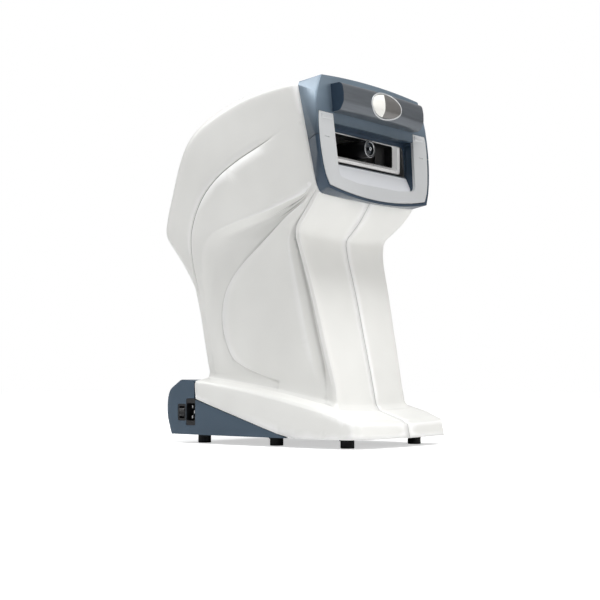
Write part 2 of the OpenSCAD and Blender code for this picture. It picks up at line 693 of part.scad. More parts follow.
// Half outline of the bezel: [share of half width, share of face height]
bezel_shares = [
    [0.885, 0], [0.94, 0.115], [0.985, 0.3], [1, 0.455], [0.995, 0.62], [0.95, 0.85], [0.868, 1]
];
bezel_sag = 0.07;
bezel_crown = 0.034;
bow_steps = 6;
function bowed(x, height) =
    [for (i = [0 : bow_steps - 1]) let (s = i / bow_steps) [x * s, height * (1 - s * s)]];
function bezel_outline(inset) = let (
        side = [for (s = bezel_shares) [s.x * face_width / 2 - inset, s.y * face_height]],
        low = side[0], high = side[len(side) - 1],
        base = [low.x, low.y + inset], crown = [high.x, high.y - inset]
    )
    both_sides(concat(
        [for (q = bowed(base.x, -bezel_sag * face_height)) q + [0, base.y]],
        smooth(concat([base], [for (i = [1 : len(side) - 2]) side[i]], [crown]), 2),
        [for (q = reversed(bowed(crown.x, bezel_crown * face_height))) q + [0, crown.y]]));
// The rear of the bezel follows the front ring of the shells
shell_start = front_line[0];
shell_reach = rear_line[0] - front_line[0];
shell_lean = atan2(shell_reach.x, shell_reach.y);
module on_shell_front() {
    translate([0, shell_start.x, shell_start.y]) rotate([90 - shell_lean, 0, 0]) children();
}
function shell_outline(inset) = both_sides([for (q = shell_section(0, inset)) [q.y, q.x + inset]]);
slice = 0.4;
module bezel_body(inset, back, front) {
    hull() {
        on_shell_front() translate([0, 0, seat_gap - back]) linear_extrude(slice + back)
            polygon(shell_outline(inset));
        on_face() translate([0, 0, -frame_thickness]) linear_extrude(frame_thickness + front)
            polygon(bezel_outline(front > 0 ? bezel_lip : inset == 0 ? 0 : inset));
    }
}
split_y = face_height * 0.455;
brow_y = face_height * 0.588;
brow_gap = 1.2;
notch_lip = 4;
bezel_wall = 3;
module bezel_ring() {
    difference() {
        bezel_body(0, 0, 0);
        bezel_body(bezel_wall, overrun, overrun);
    }
}
module half_space(y, above) {
    on_face() translate([-face_width, above ? y : y - 2 * face_height, -face_height])
        cube([2 * face_width, 2 * face_height, 2 * face_height]);
}
module brow_plate(z0, z1) {
    on_face() translate([0, 0, z0]) linear_extrude(z1 - z0) intersection() {
        polygon(bezel_outline(bezel_lip - seat_gap));
        union() {
            translate([brow_gap - opening_width / 2, brow_y])
                square([opening_width - 2 * brow_gap, face_height]);
            translate([-face_width, ear_top + seat_gap]) square([2 * face_width, face_height]);
        }
    }
}
module upper_bezel() {
    color("lightslategray") difference() {
        union() {
            intersection() {
                bezel_ring();
                half_space(split_y + panel_gap / 2, true);
            }
            brow_plate(-frame_thickness, -seat_gap / 3);
        }
        on_touch() translate([0, 0, -face_height / 2]) linear_extrude(face_height)
            polygon(oval(stem_width, stem_height));
    }
}
module lower_bezel() {
    color("darkslategray") intersection() {
        bezel_ring();
        half_space(split_y - panel_gap / 2, false);
    }
}

// Face frame: a plate with a wide opening and a rolled ear at each upper corner
ear_top = face_height * 0.668;
ear_d = 10;
ear_space = 3;
ear_proud = 1.5;
ear_inner = opening_width / 2 + ear_space;
opening_low = face_height * 0.115;
opening_high = brow_y - seat_gap;
opening_sag = 6;
opening_round = 10;
sill_round = 30;
brow_round = 3;
mark_width = 9;
mark_height = 1.2;
mark_y = face_height * 0.45;
function frame_outline() = let (o = bezel_outline(bezel_lip + panel_gap))
    [for (q = o) [q.x, min(q.y, ear_top)]];
function opening_outline(grow, high, high_round) = let (
        w = opening_width / 2 + grow, low = opening_low - grow,
        dip = low - opening_sag * 0.8, r = opening_round + grow
    )
    rounded([[-w * 0.95, low, r], [-w / 2, dip, sill_round], [w / 2, dip, sill_round], [w * 0.95, low, r],
        [w, high + grow, high_round], [-w, high + grow, high_round]]);
module face_frame() {
    color("silver") difference() {
        union() {
            on_face() translate([0, 0, -frame_thickness]) linear_extrude(frame_thickness)
                polygon(frame_outline());
            on_face() for (s = [-1, 1])
                translate([s * (ear_inner + ear_outer) / 2, ear_top - ear_d / 2, ear_proud - ear_d / 2])
                    rotate([0, 90, 0]) translate([0, 0, (ear_inner - ear_outer) / 2])
                        cylinder(d = ear_d, h = ear_outer - ear_inner);
        }
        on_face() translate([0, 0, -frame_thickness - overrun]) linear_extrude(frame_thickness + 2 * overrun)
            polygon(opening_outline(0, ear_top + overrun, 0));
        on_face() for (s = [-1, 1]) translate([s * (ear_outer - mark_width), mark_y, -overrun])
            linear_extrude(2 * overrun) square([mark_width, mark_height], center = true);
    }
}
ear_outer = face_width / 2 * 0.95 - bezel_lip - panel_gap;

// Window surround: side walls behind the opening, a sloping sill and a rear plate with its own opening
surround_wall = 2;
slot_margin = 4;
slot_half = opening_width / 2 - slot_margin;
slot_low = face_height * 0.262;
slot_high = face_height * 0.553;
slot_round = 5;
module window_surround() {
    color("gainsboro") on_face() {
        difference() {
            translate([0, 0, -recess_depth - surround_wall])
                linear_extrude(recess_depth + surround_wall - frame_thickness - seat_gap / 3)
                    polygon(opening_outline(surround_wall, opening_high, brow_round));
            translate([0, 0, -recess_depth]) linear_extrude(recess_depth)
                polygon(opening_outline(0, opening_high, brow_round));
            translate([0, 0, -recess_depth - surround_wall - overrun])
                linear_extrude(surround_wall + 2 * overrun) polygon(frame_between(slot_half, slot_low,
                    slot_high, slot_round));
        }
        intersection() {
            translate([0, 0, -recess_depth]) linear_extrude(recess_depth - frame_thickness - seat_gap)
                polygon(opening_outline(-seat_gap, opening_high, brow_round));
            rotate([0, -90, 0]) translate([0, 0, -opening_width / 2]) linear_extrude(opening_width)
                polygon([[-recess_depth, 0], [-frame_thickness, 0],
                    [-frame_thickness, opening_low - opening_sag], [-recess_depth, slot_low - overrun]]);
        }
    }
}

// Forehead rest: a D-shaped side profile cut by a bowed plan, with an oval seat for the touch plate
rest_low = face_height * 0.685;
rest_high = face_height * 0.93;
rest_bow = 3;
rest_top_fall = 1;
// Side profile: share of the reach, share of the height, radius in rest_round
rest_round = 8;
rest_shares = [[0.62, 0, 0.9], [0.96, 0.28, 1.5], [1, 0.62, 2], [0.92, 1, 1]];
rest_slices = 8;
touch_y = face_height * 0.805;
stem_width = 20;
stem_height = 12;
touch_proud = 0.8;
rim_width = 3;
plate_depth = 4;
function oval(w, h) = [for (i = [0 : side_sides - 1]) let (a = 360 * i / side_sides)
    [w / 2 * cos(a), h / 2 * sin(a)]];
touch_z = forehead_reach * 0.84;
module rest_profile(reach) {
    polygon(rounded(concat([[0, rest_low, 0]],
        [for (q = rest_shares) [q.x * reach, mix(rest_low, rest_high, q.y), q.z * rest_round]],
        [[0, rest_high + rest_top_fall, 0]]), 6));
}
module rest_solid(grow) {
    hull() for (i = [0 : rest_slices]) {
        s = 2 * i / rest_slices - 1;
        x = s * (forehead_width - slice) / 2;
        on_face() translate([x + slice / 2, 0, 0]) rotate([0, -90, 0]) linear_extrude(slice)
            rest_profile(forehead_reach + grow - rest_bow * s * s);
    }
}
module on_touch() {
    on_face() translate([0, touch_y, touch_z]) rotate([touch_lean, 0, 0]) children();
}
touch_lean = 14;
module forehead_rest() {
    color("lightsteelblue") difference() {
        rest_solid(0);
        on_touch() translate([0, 0, -plate_depth - touch_travel])
            linear_extrude(forehead_reach) polygon(oval(touch_width, touch_height));
        on_touch() translate([0, 0, -forehead_reach * 2])
            linear_extrude(forehead_reach * 3) polygon(oval(stem_width, stem_height));
    }
}
module touch_plate() {
    color("silver") intersection() {
        rest_solid(touch_proud);
        on_touch() translate([0, 0, -plate_depth + seat_gap]) linear_extrude(forehead_reach)
            polygon(oval(touch_width - 2 * seat_gap, touch_height - 2 * seat_gap));
    }
    color("silver") on_touch() {
        translate([0, 0, -forehead_reach]) linear_extrude(forehead_reach - plate_depth + overrun)
            polygon(oval(stem_width - 2 * overrun, stem_height - 2 * overrun));
    }
}

// Base plate, feet and chassis
plate_z = floor_gap + overrun;
plate_top = plate_z + plate_thickness;
plate_front = along(0.045);
plate_rear = along(0.94);
foot_x = base_width * 0.34;
feet = [along(0.128), along(0.466), along(0.842)];
module base_plate() {
    a = plate_front;
    b = plate_rear;
    inner = shell_wall + 2 * seat_gap;
    color("gray") difference() {
        translate([0, 0, plate_z]) linear_extrude(plate_thickness) polygon(both_sides(concat(
            [[0, a], [base_half(a) * 0.7 - inner, a + base_bow / 2]],
            [for (i = [0 : plan_steps]) let (y = mix(a + base_bow + base_corner, b, i / plan_steps))
                [base_half(y) - inner - flush_step, y]],
            [[0, b]])));
        for (s = [-1, 1], y = feet) rod_z(foot_d / 3, 0, base_height, s * foot_x, y);
    }
}
foot_stem = 4;
module rubber_feet() {
    color("black") for (s = [-1, 1], y = feet) {
        rod_z(foot_d, 0, plate_z, s * foot_x, y);
        rod_z(foot_d / 3 - seat_gap, plate_z, plate_top, s * foot_x, y);
    }
}

// Heights of the mechanism hang from the axis of the nozzle
axis_z = up(0.7795);
window_y = along(0.2245);
deck_drop = 15;
reach_drop = 30;
saddle_drop = 42;
cross_drop = 52;
tray_drop = 64;
shelf_drop = 104;
deck_z = axis_z - deck_drop;
reach_z = axis_z - reach_drop;
cross_z = axis_z - cross_drop;
saddle_z = axis_z - saddle_drop;
plate_steel = 4;
tray_z = axis_z - tray_drop;
shelf_z = axis_z - shelf_drop;
cheek = 4;
chassis_half = 58;
chassis_front = along(0.36);
chassis_rear = along(0.7);
lift_y = along(0.765);
lift_x = 58;
lift_rod_d = 10;
rod_over = 2;
lift_top = axis_z + rod_over;
flange_reach = 12;
window_d = 36;
module chassis() {
    color("lightgray") difference() {
        union() {
            block([-chassis_half - flange_reach, chassis_half + flange_reach], [chassis_front, chassis_rear],
                [plate_top, plate_top + plate_steel]);
            for (s = [-1, 1]) {
                x0 = s * chassis_half;
                x1 = s * (chassis_half - cheek);
                block([min(x0, x1), max(x0, x1)], [chassis_front + flange_reach, chassis_rear],
                    [plate_top, shelf_z - cheek]);
            }
            block([-chassis_half, chassis_half], [chassis_rear - cheek, chassis_rear],
                [plate_top, shelf_z - cheek]);
            block([-chassis_half - flange_reach, chassis_half + flange_reach],
                [chassis_front, lift_y + motor_side / 2], [shelf_z - cheek, shelf_z]);
        }
        for (z = [0.3, 0.55, 0.8], y = [0.5, 0.62])
            rod_x(window_d, -body_depth, body_depth, along(y), shelf_z * z);
        rod_z(window_d, shelf_z - 2 * cheek, shelf_z + cheek, 0, along(0.5));
        rod_z(screw_d * 2, shelf_z - 2 * cheek, shelf_z + cheek, 0, lift_y);
        for (s = [-1, 1]) rod_z(lift_rod_d, shelf_z - cheek / 2, shelf_z + cheek, s * lift_x, lift_y);
        for (p = screw_places) rod_z(screw_hole, 0, base_height, p.x, p.y);
    }
}
screw_hole = 4.2;
screw_head = 8;
screw_shank = 4;
head_height = 3;
screw_places = [for (s = [-1, 1], y = [0.4, 0.54, 0.67])
    [s * (chassis_half + flange_reach / 2), along(y)]];
module chassis_screws() {
    color("silver") for (p = screw_places) {
        rod_z(screw_head, plate_top + plate_steel, plate_top + plate_steel + head_height, p.x, p.y);
        rod_z(screw_shank, plate_top, plate_top + plate_steel, p.x, p.y);
    }
}
supply_half = 34;
supply_height = 38;
module power_supply() {
    color("darkgray") difference() {
        block([-supply_half, supply_half], [along(0.42), along(0.68)],
            [plate_top + plate_steel, plate_top + plate_steel + supply_height]);
        block([-supply_half + side_wall, supply_half - side_wall], [along(0.42) + side_wall, along(0.68)
            - side_wall],
            [plate_top + plate_steel + side_wall, plate_top + plate_steel + supply_height - side_wall]);
        for (i = [0 : 6]) block([-supply_half * 0.7, supply_half * 0.7],
            [along(0.45 + i * 0.03), along(0.45 + i * 0.03) + side_wall],
            [base_height / 2, base_height]);
    }
}
board_gap = 5;
board_low = up(0.03);
board_high = up(0.4);
module main_board() {
    color("darkgreen") difference() {
        union() {
            block([chassis_half + board_gap, chassis_half + board_gap + board_thickness],
                [along(0.47), along(0.69)], [board_low, board_high]);
            for (i = [0 : 3]) block([chassis_half + board_gap + board_thickness,
                chassis_half + board_gap * 1.7],
                [along(0.5), along(0.55 + 0.03 * (i % 2))],
                [mix(board_low, board_high, 0.14 + 0.2 * i), mix(board_low, board_high, 0.24 + 0.2 * i)]);
        }
        for (p = spacer_places) rod_x(screw_shank, chassis_half, body_depth, p.x, p.y);
    }
}
spacer_places = [for (y = [0.485, 0.675], z = [0.06, 0.94])
    [along(y), mix(board_low, board_high, z)]];
module board_spacers() {
    color("silver") for (p = spacer_places) {
        rod_x(screw_hole + 2, chassis_half, chassis_half + board_gap, p.x, p.y);
        rod_x(screw_shank - seat_gap, chassis_half + board_gap,
            chassis_half + board_gap + board_thickness, p.x, p.y);
    }
}

// Lift stage: upright rods and screw on the chassis carry a tray
motor_side = 42;
motor_length = 38;
motor_round = 5;
module lift_rods() {
    color("silver") for (s = [-1, 1]) rod_z(lift_rod_d, shelf_z - cheek / 2, lift_top, s * lift_x, lift_y);
}
module lift_motor() {
    color("dimgray") difference() {
        translate([0, lift_y, shelf_z - cheek - motor_length]) linear_extrude(motor_length)
            polygon(rounded_box(motor_side, motor_side, motor_round));
        rod_z(screw_d + 2 * running_gap, shelf_z - cheek - motor_length / 2, shelf_z, 0, lift_y);
    }
}
module lift_screw() {
    color("silver") rod_z(screw_d, shelf_z - cheek - motor_length / 2, tray_z + cheek * 4,
        0, lift_y);
}
tray_half = 90;
tray_front = along(0.275);
tray_rear = lift_y - lift_rod_d;
bush_height = 34;
bush_wall = 4;
nut_d = 18;
end_block = 8;
cross_front = along(0.42);
cross_rear = along(0.615);
cross_screw_y = along(0.695);
module lift_carriage() {
    color("gainsboro") difference() {
        union() {
            block([-tray_half, tray_half], [tray_front, tray_rear], [tray_z - plate_steel, tray_z]);
            block([-lift_x - lift_rod_d, lift_x + lift_rod_d], [tray_rear,
                lift_y + lift_rod_d / 2 + bush_wall],
                [tray_z - plate_steel, tray_z]);
            for (s = [-1, 1]) rod_z(lift_rod_d + 2 * bush_wall, tray_z - plate_steel,
                tray_z - plate_steel + bush_height,
                s * lift_x, lift_y);
            rod_z(nut_d, tray_z - plate_steel, tray_z + cheek * 2, 0, lift_y);
            for (s = [-1, 1], y = [cross_front, cross_rear, cross_screw_y]) {
                x0 = s * tray_half;
                x1 = s * (tray_half - end_block);
                if (y != cross_screw_y || s > 0)
                    block([min(x0, x1), max(x0, x1)], [y - rod_d, y + rod_d], [tray_z, cross_z + rod_d]);
            }
            for (s = [-1, 1]) {
                x0 = s * (tray_half - end_block);
                x1 = s * (tray_half - end_block - cheek);
                block([min(x0, x1), max(x0, x1)], [tray_front, tray_front + cheek], [tray_z,
                    shroud_low + cheek]);
            }
        }
        block([-tray_half + end_block * 3, tray_half - end_block * 3], [cross_front + rod_d * 2,
            cross_rear - rod_d],
            [tray_z - 2 * plate_steel, tray_z + overrun]);
        for (s = [-1, 1]) rod_z(lift_rod_d + 2 * running_gap, shelf_z, axis_z, s * lift_x, lift_y);
        rod_z(screw_d + 2 * running_gap, shelf_z, axis_z, 0, lift_y);
        for (y = [cross_front, cross_rear])
            rod_x(rod_d, -tray_half + end_block / 2, tray_half - end_block / 2, y, cross_z);
        rod_x(screw_d + 2 * running_gap, 0, tray_half - end_block / 2, cross_screw_y, cross_z);
    }
}
module cross_rods() {
    color("silver") for (y = [cross_front, cross_rear])
        rod_x(rod_d, -tray_half + end_block / 2, tray_half - end_block / 2, y, cross_z);
}
small_motor = 28;
small_length = 28;
module cross_motor() {
    color("dimgray") difference() {
        block([-tray_half, -tray_half + small_length], [cross_screw_y - small_motor / 2,
            cross_screw_y + small_motor / 2],
            [tray_z, tray_z + small_motor]);
        rod_x(screw_d + 2 * running_gap, -tray_half + small_length / 2, 0, cross_screw_y, cross_z);
    }
}
module cross_screw() {
    color("silver") rod_x(screw_d, -tray_half + small_length / 2, tray_half - end_block / 2,
        cross_screw_y, cross_z);
}

// Moving shroud: a bevelled white frame round the dark window, carried by the lift stage
shroud_space = 4;
shroud_drop = 24;
shroud_cover = 18;
shroud_rise = lift_travel + shroud_cover;
shroud_border = 10;
shroud_half = slot_half - shroud_space;
shroud_low = axis_z - shroud_drop;
shroud_high = axis_z + shroud_rise;
view_rise = 14.5;
view_half = shroud_half - shroud_border;
view_low = axis_z - view_rise;
view_high = axis_z + view_rise;
shroud_round = 5;
view_round = 3;
bevel_side = 5;
bevel_low = 6;
bevel_high = 3;
shroud_depth = 6.5;
shroud_front = window_y - shroud_depth;
module window_shroud() {
    color("white") {
        difference() {
            translate([0, window_y, 0]) rotate([90, 0, 0]) linear_extrude(shroud_depth)
                polygon(frame_between(shroud_half, shroud_low, shroud_high, shroud_round));
            hull() {
                translate([0, window_y + overrun, 0]) rotate([90, 0, 0]) linear_extrude(slice)
                    polygon(frame_between(view_half, view_low, view_high, view_round));
                translate([0, shroud_front - overrun, 0]) rotate([90, 0, 0]) linear_extrude(slice)
                    polygon(frame_between(view_half + bevel_side, view_low - bevel_low,
                        view_high + bevel_high,
                        view_round));
            }
        }
        for (s = [-1, 1]) {
            x0 = s * (tray_half - end_block);
            x1 = s * (tray_half - end_block - cheek);
            block([min(x0, x1), max(x0, x1)], [window_y, tray_front], [shroud_low, shroud_low + cheek]);
        }
    }
}
liner_depth = 14;
liner_wall = 1.5;
liner_space = 3;
liner_slot = cross_travel + barrel_d / 2 + liner_space;
module window_liner() {
    color("black") difference() {
        block([-view_half - liner_wall, view_half + liner_wall], [window_y, window_y + liner_depth],
            [view_low - liner_wall, view_high + liner_wall]);
        block([-view_half, view_half], [window_y - overrun, window_y + liner_depth - liner_wall],
            [view_low, view_high]);
        block([-liner_slot, liner_slot], [window_y, window_y + liner_depth + overrun],
            [view_low + overrun, view_high - overrun]);
    }
}

// Cross stage: a saddle on the cross rods that carries the rods of the reach stage
saddle_half = 40;
saddle_front = cross_front - rod_d - cheek;
saddle_rear = cross_rear + rod_d + cheek;
reach_x = 30;
reach_side = 2 * (saddle_drop - reach_drop);
module cross_carriage() {
    color("gainsboro") difference() {
        union() {
            block([-saddle_half, saddle_half], [saddle_front, saddle_rear], [saddle_z - plate_steel,
                saddle_z]);
            for (y = [cross_front, cross_rear])
                block([-saddle_half, saddle_half], [y - rod_d, y + rod_d], [cross_z - rod_d,
                    saddle_z - plate_steel]);
            for (y = [saddle_front, saddle_rear - cheek])
                block([-saddle_half, saddle_half], [y, y + cheek], [saddle_z, reach_z + rod_d]);
            block([-nut_d / 2, nut_d / 2], [saddle_rear, cross_screw_y + nut_d / 2],
                [saddle_z - plate_steel, saddle_z]);
            block([-nut_d / 2, nut_d / 2], [cross_screw_y - nut_d / 2, cross_screw_y + nut_d / 2],
                [cross_z - rod_d, saddle_z]);
        }
        for (y = [cross_front, cross_rear])
            rod_x(rod_d + 2 * running_gap, -body_depth, body_depth, y, cross_z);
        rod_x(screw_d + 2 * running_gap, -body_depth, body_depth, cross_screw_y, cross_z);
        for (s = [-1, 1]) rod_y(rod_d, saddle_front - overrun, saddle_rear + overrun, s * reach_x, reach_z);
        rod_y(screw_d + 2 * running_gap, saddle_front + cheek / 2, saddle_rear + overrun, 0, reach_z);
    }
}
module reach_rods() {
    color("silver") for (s = [-1, 1]) rod_y(rod_d, saddle_front, saddle_rear, s * reach_x, reach_z);
}
module reach_motor() {
    color("dimgray") difference() {
        block([-reach_side / 2, reach_side / 2], [saddle_rear, saddle_rear + small_length],
            [saddle_z, saddle_z + reach_side]);
        rod_y(screw_d + 2 * running_gap, saddle_rear - overrun, saddle_rear + small_length / 2, 0, reach_z);
    }
}
module reach_screw() {
    color("silver") rod_y(screw_d, saddle_front + cheek / 2, saddle_rear + small_length / 2, 0, reach_z);
}

// Measuring head on the reach stage
slide_front = saddle_front + cheek + reach_travel + overrun;
slide_rear = saddle_rear - cheek - reach_travel - overrun;
deck_thickness = 4;
chamber_front = along(0.39);
chamber_rear = along(0.47);
chamber_half = 20;
chamber_rise = 44;
pump_rise = 30;
chamber_top = axis_z + chamber_rise;
pump_z = axis_z + pump_rise;
pump_d = 26;
pump_bore = 20;
pump_rear = along(0.555);
module head_slide() {
    color("lightgray") difference() {
        union() {
            block([-saddle_half, saddle_half], [slide_front, slide_rear], [reach_z - rod_d + overrun,
                deck_z]);
            block([-saddle_half, saddle_half], [chamber_front - deck_thickness, slide_rear],
                [deck_z - deck_thickness, deck_z]);
        }
        for (s = [-1, 1]) rod_y(rod_d + 2 * running_gap, -body_depth, body_depth, s * reach_x, reach_z);
        rod_y(screw_d + 2 * running_gap, -body_depth, body_depth, 0, reach_z);
    }
}
module air_chamber() {
    color("silver") difference() {
        block([-chamber_half, chamber_half], [chamber_front, chamber_rear], [deck_z, chamber_top]);
        rod_y(barrel_d * 0.8, chamber_front + side_wall, chamber_rear - side_wall, 0, axis_z);
        rod_y(nozzle_bore, chamber_front - overrun, chamber_rear, 0, axis_z);
        rod_y(pump_bore, chamber_front + side_wall * 2, chamber_rear + overrun, 0, pump_z);
        rod_z(pump_bore / 2, axis_z, pump_z, 0, (chamber_front + chamber_rear) / 2);
    }
}
barrel_reach = 16;
barrel_front = window_y - barrel_reach;
lens_depth = 3;
tube_d = 5;
module lens_barrel() {
    color("dimgray") difference() {
        union() {
            rod_y(barrel_d, barrel_front, chamber_front, 0, axis_z);
            rod_y(tube_d, barrel_front - overrun, barrel_front + lens_depth * 3, 0, axis_z);
        }
        difference() {
            rod_y(barrel_d - 2 * rim_width, barrel_front - overrun * 2, barrel_front + lens_depth * 2, 0,
                axis_z);
            rod_y(tube_d, barrel_front - overrun, barrel_front + lens_depth * 3, 0, axis_z);
        }
        rod_y(nozzle_bore, barrel_front - overrun * 2, chamber_front + overrun, 0, axis_z);
    }
}
module front_lens() {
    color("lightblue") difference() {
        rod_y(barrel_d - 2 * rim_width, barrel_front + lens_depth, barrel_front + 2 * lens_depth, 0, axis_z);
        rod_y(tube_d, barrel_front - overrun, barrel_front + lens_depth * 3, 0, axis_z);
    }
}
camera_d = 22;
camera_rear = along(0.52);
module alignment_camera() {
    color("dimgray") {
        rod_y(camera_d, chamber_rear, camera_rear, 0, axis_z);
        block([-camera_d * 0.7, camera_d * 0.7], [camera_rear, camera_rear + screw_shank],
            [deck_z, axis_z + camera_d * 0.6]);
    }
}
module pump_cylinder() {
    color("silver") difference() {
        rod_y(pump_d, chamber_rear, pump_rear, 0, pump_z);
        rod_y(pump_bore, chamber_rear - overrun, pump_rear + overrun, 0, pump_z);
    }
}
piston_length = 14;
rod_reach = 12;
piston_space = 2;
piston_rest = chamber_rear + pump_stroke + piston_space;
piston_end = pump_rear + rod_reach;
module pump_piston() {
    color("gray") {
        rod_y(pump_bore - 2 * running_gap, piston_rest, piston_rest + piston_length, 0, pump_z);
        rod_y(shaft_d, piston_rest, piston_end, 0, pump_z);
    }
}
// The lever's round tip pushes the piston; at rest it leans back by half its swing
lever_arm = 17;
lever_swing = 2 * asin(pump_stroke / 2 / lever_arm);
lever_z = pump_z - lever_arm;
tip_d = 8;
solenoid_y = piston_end + seat_gap + tip_d / 2 - lever_arm * sin(lever_swing / 2);
solenoid_d = 34;
solenoid_length = 22;
solenoid_x = 15;
lever_thickness = 8;
shaft_d = 6;
function lever_tip() =
    [solenoid_y + lever_arm * sin(lever_swing / 2), lever_z + lever_arm * cos(lever_swing / 2)];
module rotary_solenoid() {
    color("dimgray") difference() {
        union() {
            rod_x(solenoid_d, solenoid_x, solenoid_x + solenoid_length, solenoid_y, lever_z);
            block([solenoid_x, solenoid_x + solenoid_length],
                [solenoid_y - solenoid_d / 3, solenoid_y + solenoid_d / 3], [deck_z, lever_z]);
        }
        rod_x(shaft_d + 2 * running_gap, 0, solenoid_x + solenoid_length / 2, solenoid_y, lever_z);
    }
}
module solenoid_lever() {
    tip = lever_tip();
    color("goldenrod") {
        rod_x(shaft_d, -lever_thickness / 2, solenoid_x + solenoid_length / 2, solenoid_y, lever_z);
        rod_x(shaft_d * 2, -lever_thickness / 2, lever_thickness / 2, solenoid_y, lever_z);
        rod_x(tip_d, -lever_thickness / 4, lever_thickness / 4, tip.x, tip.y);
        hull() {
            rod_x(tip_d / 2, -lever_thickness / 4, lever_thickness / 4, solenoid_y, lever_z);
            rod_x(tip_d / 2, -lever_thickness / 4, lever_thickness / 4, tip.x, tip.y);
        }
    }
}

left_shell();
right_shell();
rear_base_cover();
base_plate();
rubber_feet();
upper_bezel();
lower_bezel();
forehead_rest();
touch_plate();
face_frame();
window_surround();
window_shroud();
window_liner();
display_bezel();
display_window();
display_module();
keypad_board();
control_button_1();
control_button_2();
control_button_3();
control_button_4();
control_button_5();
printer_door();
platen_roller();
paper_roll();
printer_frame();
print_head();
power_inlet();
inlet_pins();
switch_housing();
power_rocker();
chassis();
chassis_screws();
power_supply();
main_board();
board_spacers();
lift_rods();
lift_motor();
lift_screw();
lift_carriage();
cross_rods();
cross_motor();
cross_screw();
cross_carriage();
reach_rods();
reach_motor();
reach_screw();
head_slide();
air_chamber();
lens_barrel();
front_lens();
alignment_camera();
pump_cylinder();
pump_piston();
rotary_solenoid();
solenoid_lever();
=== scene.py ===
import json
import math

import bmesh
import bpy
from bpy.props import FloatProperty, FloatVectorProperty, IntProperty, PointerProperty
from bpy.types import Operator, Panel, PropertyGroup
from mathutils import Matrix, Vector
from mathutils.bvhtree import BVHTree


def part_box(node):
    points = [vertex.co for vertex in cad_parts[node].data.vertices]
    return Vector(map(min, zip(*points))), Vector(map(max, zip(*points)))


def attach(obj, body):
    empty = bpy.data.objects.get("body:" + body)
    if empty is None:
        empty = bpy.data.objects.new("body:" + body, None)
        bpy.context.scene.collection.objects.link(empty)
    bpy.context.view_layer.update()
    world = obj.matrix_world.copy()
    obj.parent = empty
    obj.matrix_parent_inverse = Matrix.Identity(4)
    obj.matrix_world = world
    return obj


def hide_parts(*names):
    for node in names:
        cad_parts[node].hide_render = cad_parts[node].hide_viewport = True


bl_info = {
    "name": "Air-puff tonometer",
    "version": (1, 0, 0),
    "blender": (4, 5, 0),
    "location": "View3D > Sidebar > Tonometer",
    "description": "Dresses the packed tonometer: shells, bezel, face, display, base and mechanism",
    "category": "Object",
}

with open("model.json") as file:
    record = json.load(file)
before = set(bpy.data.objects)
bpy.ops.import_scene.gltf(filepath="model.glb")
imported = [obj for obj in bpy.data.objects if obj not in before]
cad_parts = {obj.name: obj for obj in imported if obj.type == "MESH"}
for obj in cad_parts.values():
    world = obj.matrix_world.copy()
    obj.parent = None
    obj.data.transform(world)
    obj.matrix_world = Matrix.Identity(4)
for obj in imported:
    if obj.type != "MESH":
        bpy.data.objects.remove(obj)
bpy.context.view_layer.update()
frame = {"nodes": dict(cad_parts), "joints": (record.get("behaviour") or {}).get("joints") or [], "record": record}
BODIES = frame["record"]["behaviour"]["bodies"]
BODY_OF = {node: body for body, nodes in BODIES.items() for node in nodes}
SLOT_OF = {s["node"]: s["material_slot"] for s in frame["record"]["subparts"]}
JOINT = {joint["name"]: joint for joint in frame["joints"]}
MM = 0.001
MERGE = 0.02 * MM
# Between these heights the painted shade in the grooves and creases grows from CREASE_SHADE_LEAST of its amount to
# all of it
CREASE_SHADE_LOW, CREASE_SHADE_HIGH, CREASE_SHADE_LEAST = 240 * MM, 300 * MM, 0.3
# Pointiness below which a surface is read as concave and gets painted shade, and above which it is read as convex
# and gets a painted highlight
CONCAVE_START, CONCAVE_FULL = 0.486, 0.455
CONVEX_START, CONVEX_FULL, CREST_HIGHLIGHT = 0.515, 0.545, 0.6
# Strength of the painted shade along the seam between the shells
SEAM_SHADE = 0.65
# The split of the touch plate, the edge of its painted reflection, runs from one of these places along X to the
# other
REFLECTION_EDGE_START, REFLECTION_EDGE_END = -5.2 * MM, -4.8 * MM
# A shell's crease is the angle between two faces in degrees, divided by the first, less the second
CREASE_ANGLE, CREASE_START = 26, 0.5
# How far in front of the forehead rest the rim is laid out before it is cast on it
RIM_REACH = 0.03
RIM_STEPS, RIM_SIDES, RIM_FLATNESS = 96, 10, 0.55
# Place of each lamp, the point that all face and the diameters of their disks
KEY_PLACE, FILL_PLACE, REAR_PLACE = (-0.35, -0.6, 2.2), (0.8, -2.4, 0.7), (-0.5, 1.7, 1.7)
LAMP_TARGET, REAR_TARGET = (0, 0, 0.3), (0, 0, 0.4)
KEY_SIZE, FILL_SIZE, REAR_SIZE = 1.0, 1.2, 1.0
FILL_TINT = (1.0, 0.975, 0.93)
FLOOR_HALF, FLOOR_GLOW = 6, 0.55


def tone(red, green, blue):
    """A colour given as the 0 to 255 values of a screen, as the linear values that a shader takes."""
    def linear(value):
        share = value / 255
        return share / 12.92 if share <= 0.04045 else ((share + 0.055) / 1.055) ** 2.4
    return (linear(red), linear(green), linear(blue), 1.0)


def colour(label, red, green, blue):
    """A colour property with a default."""
    return FloatVectorProperty(name=label, description=f"Colour of the {label.lower()}", subtype="COLOR",
                               size=4, min=0, max=1, default=tone(red, green, blue))


def length(label, millimetres, text):
    """A length property whose default is given in millimetres."""
    return FloatProperty(name=label, description=text, unit="LENGTH", default=millimetres * MM, min=0)


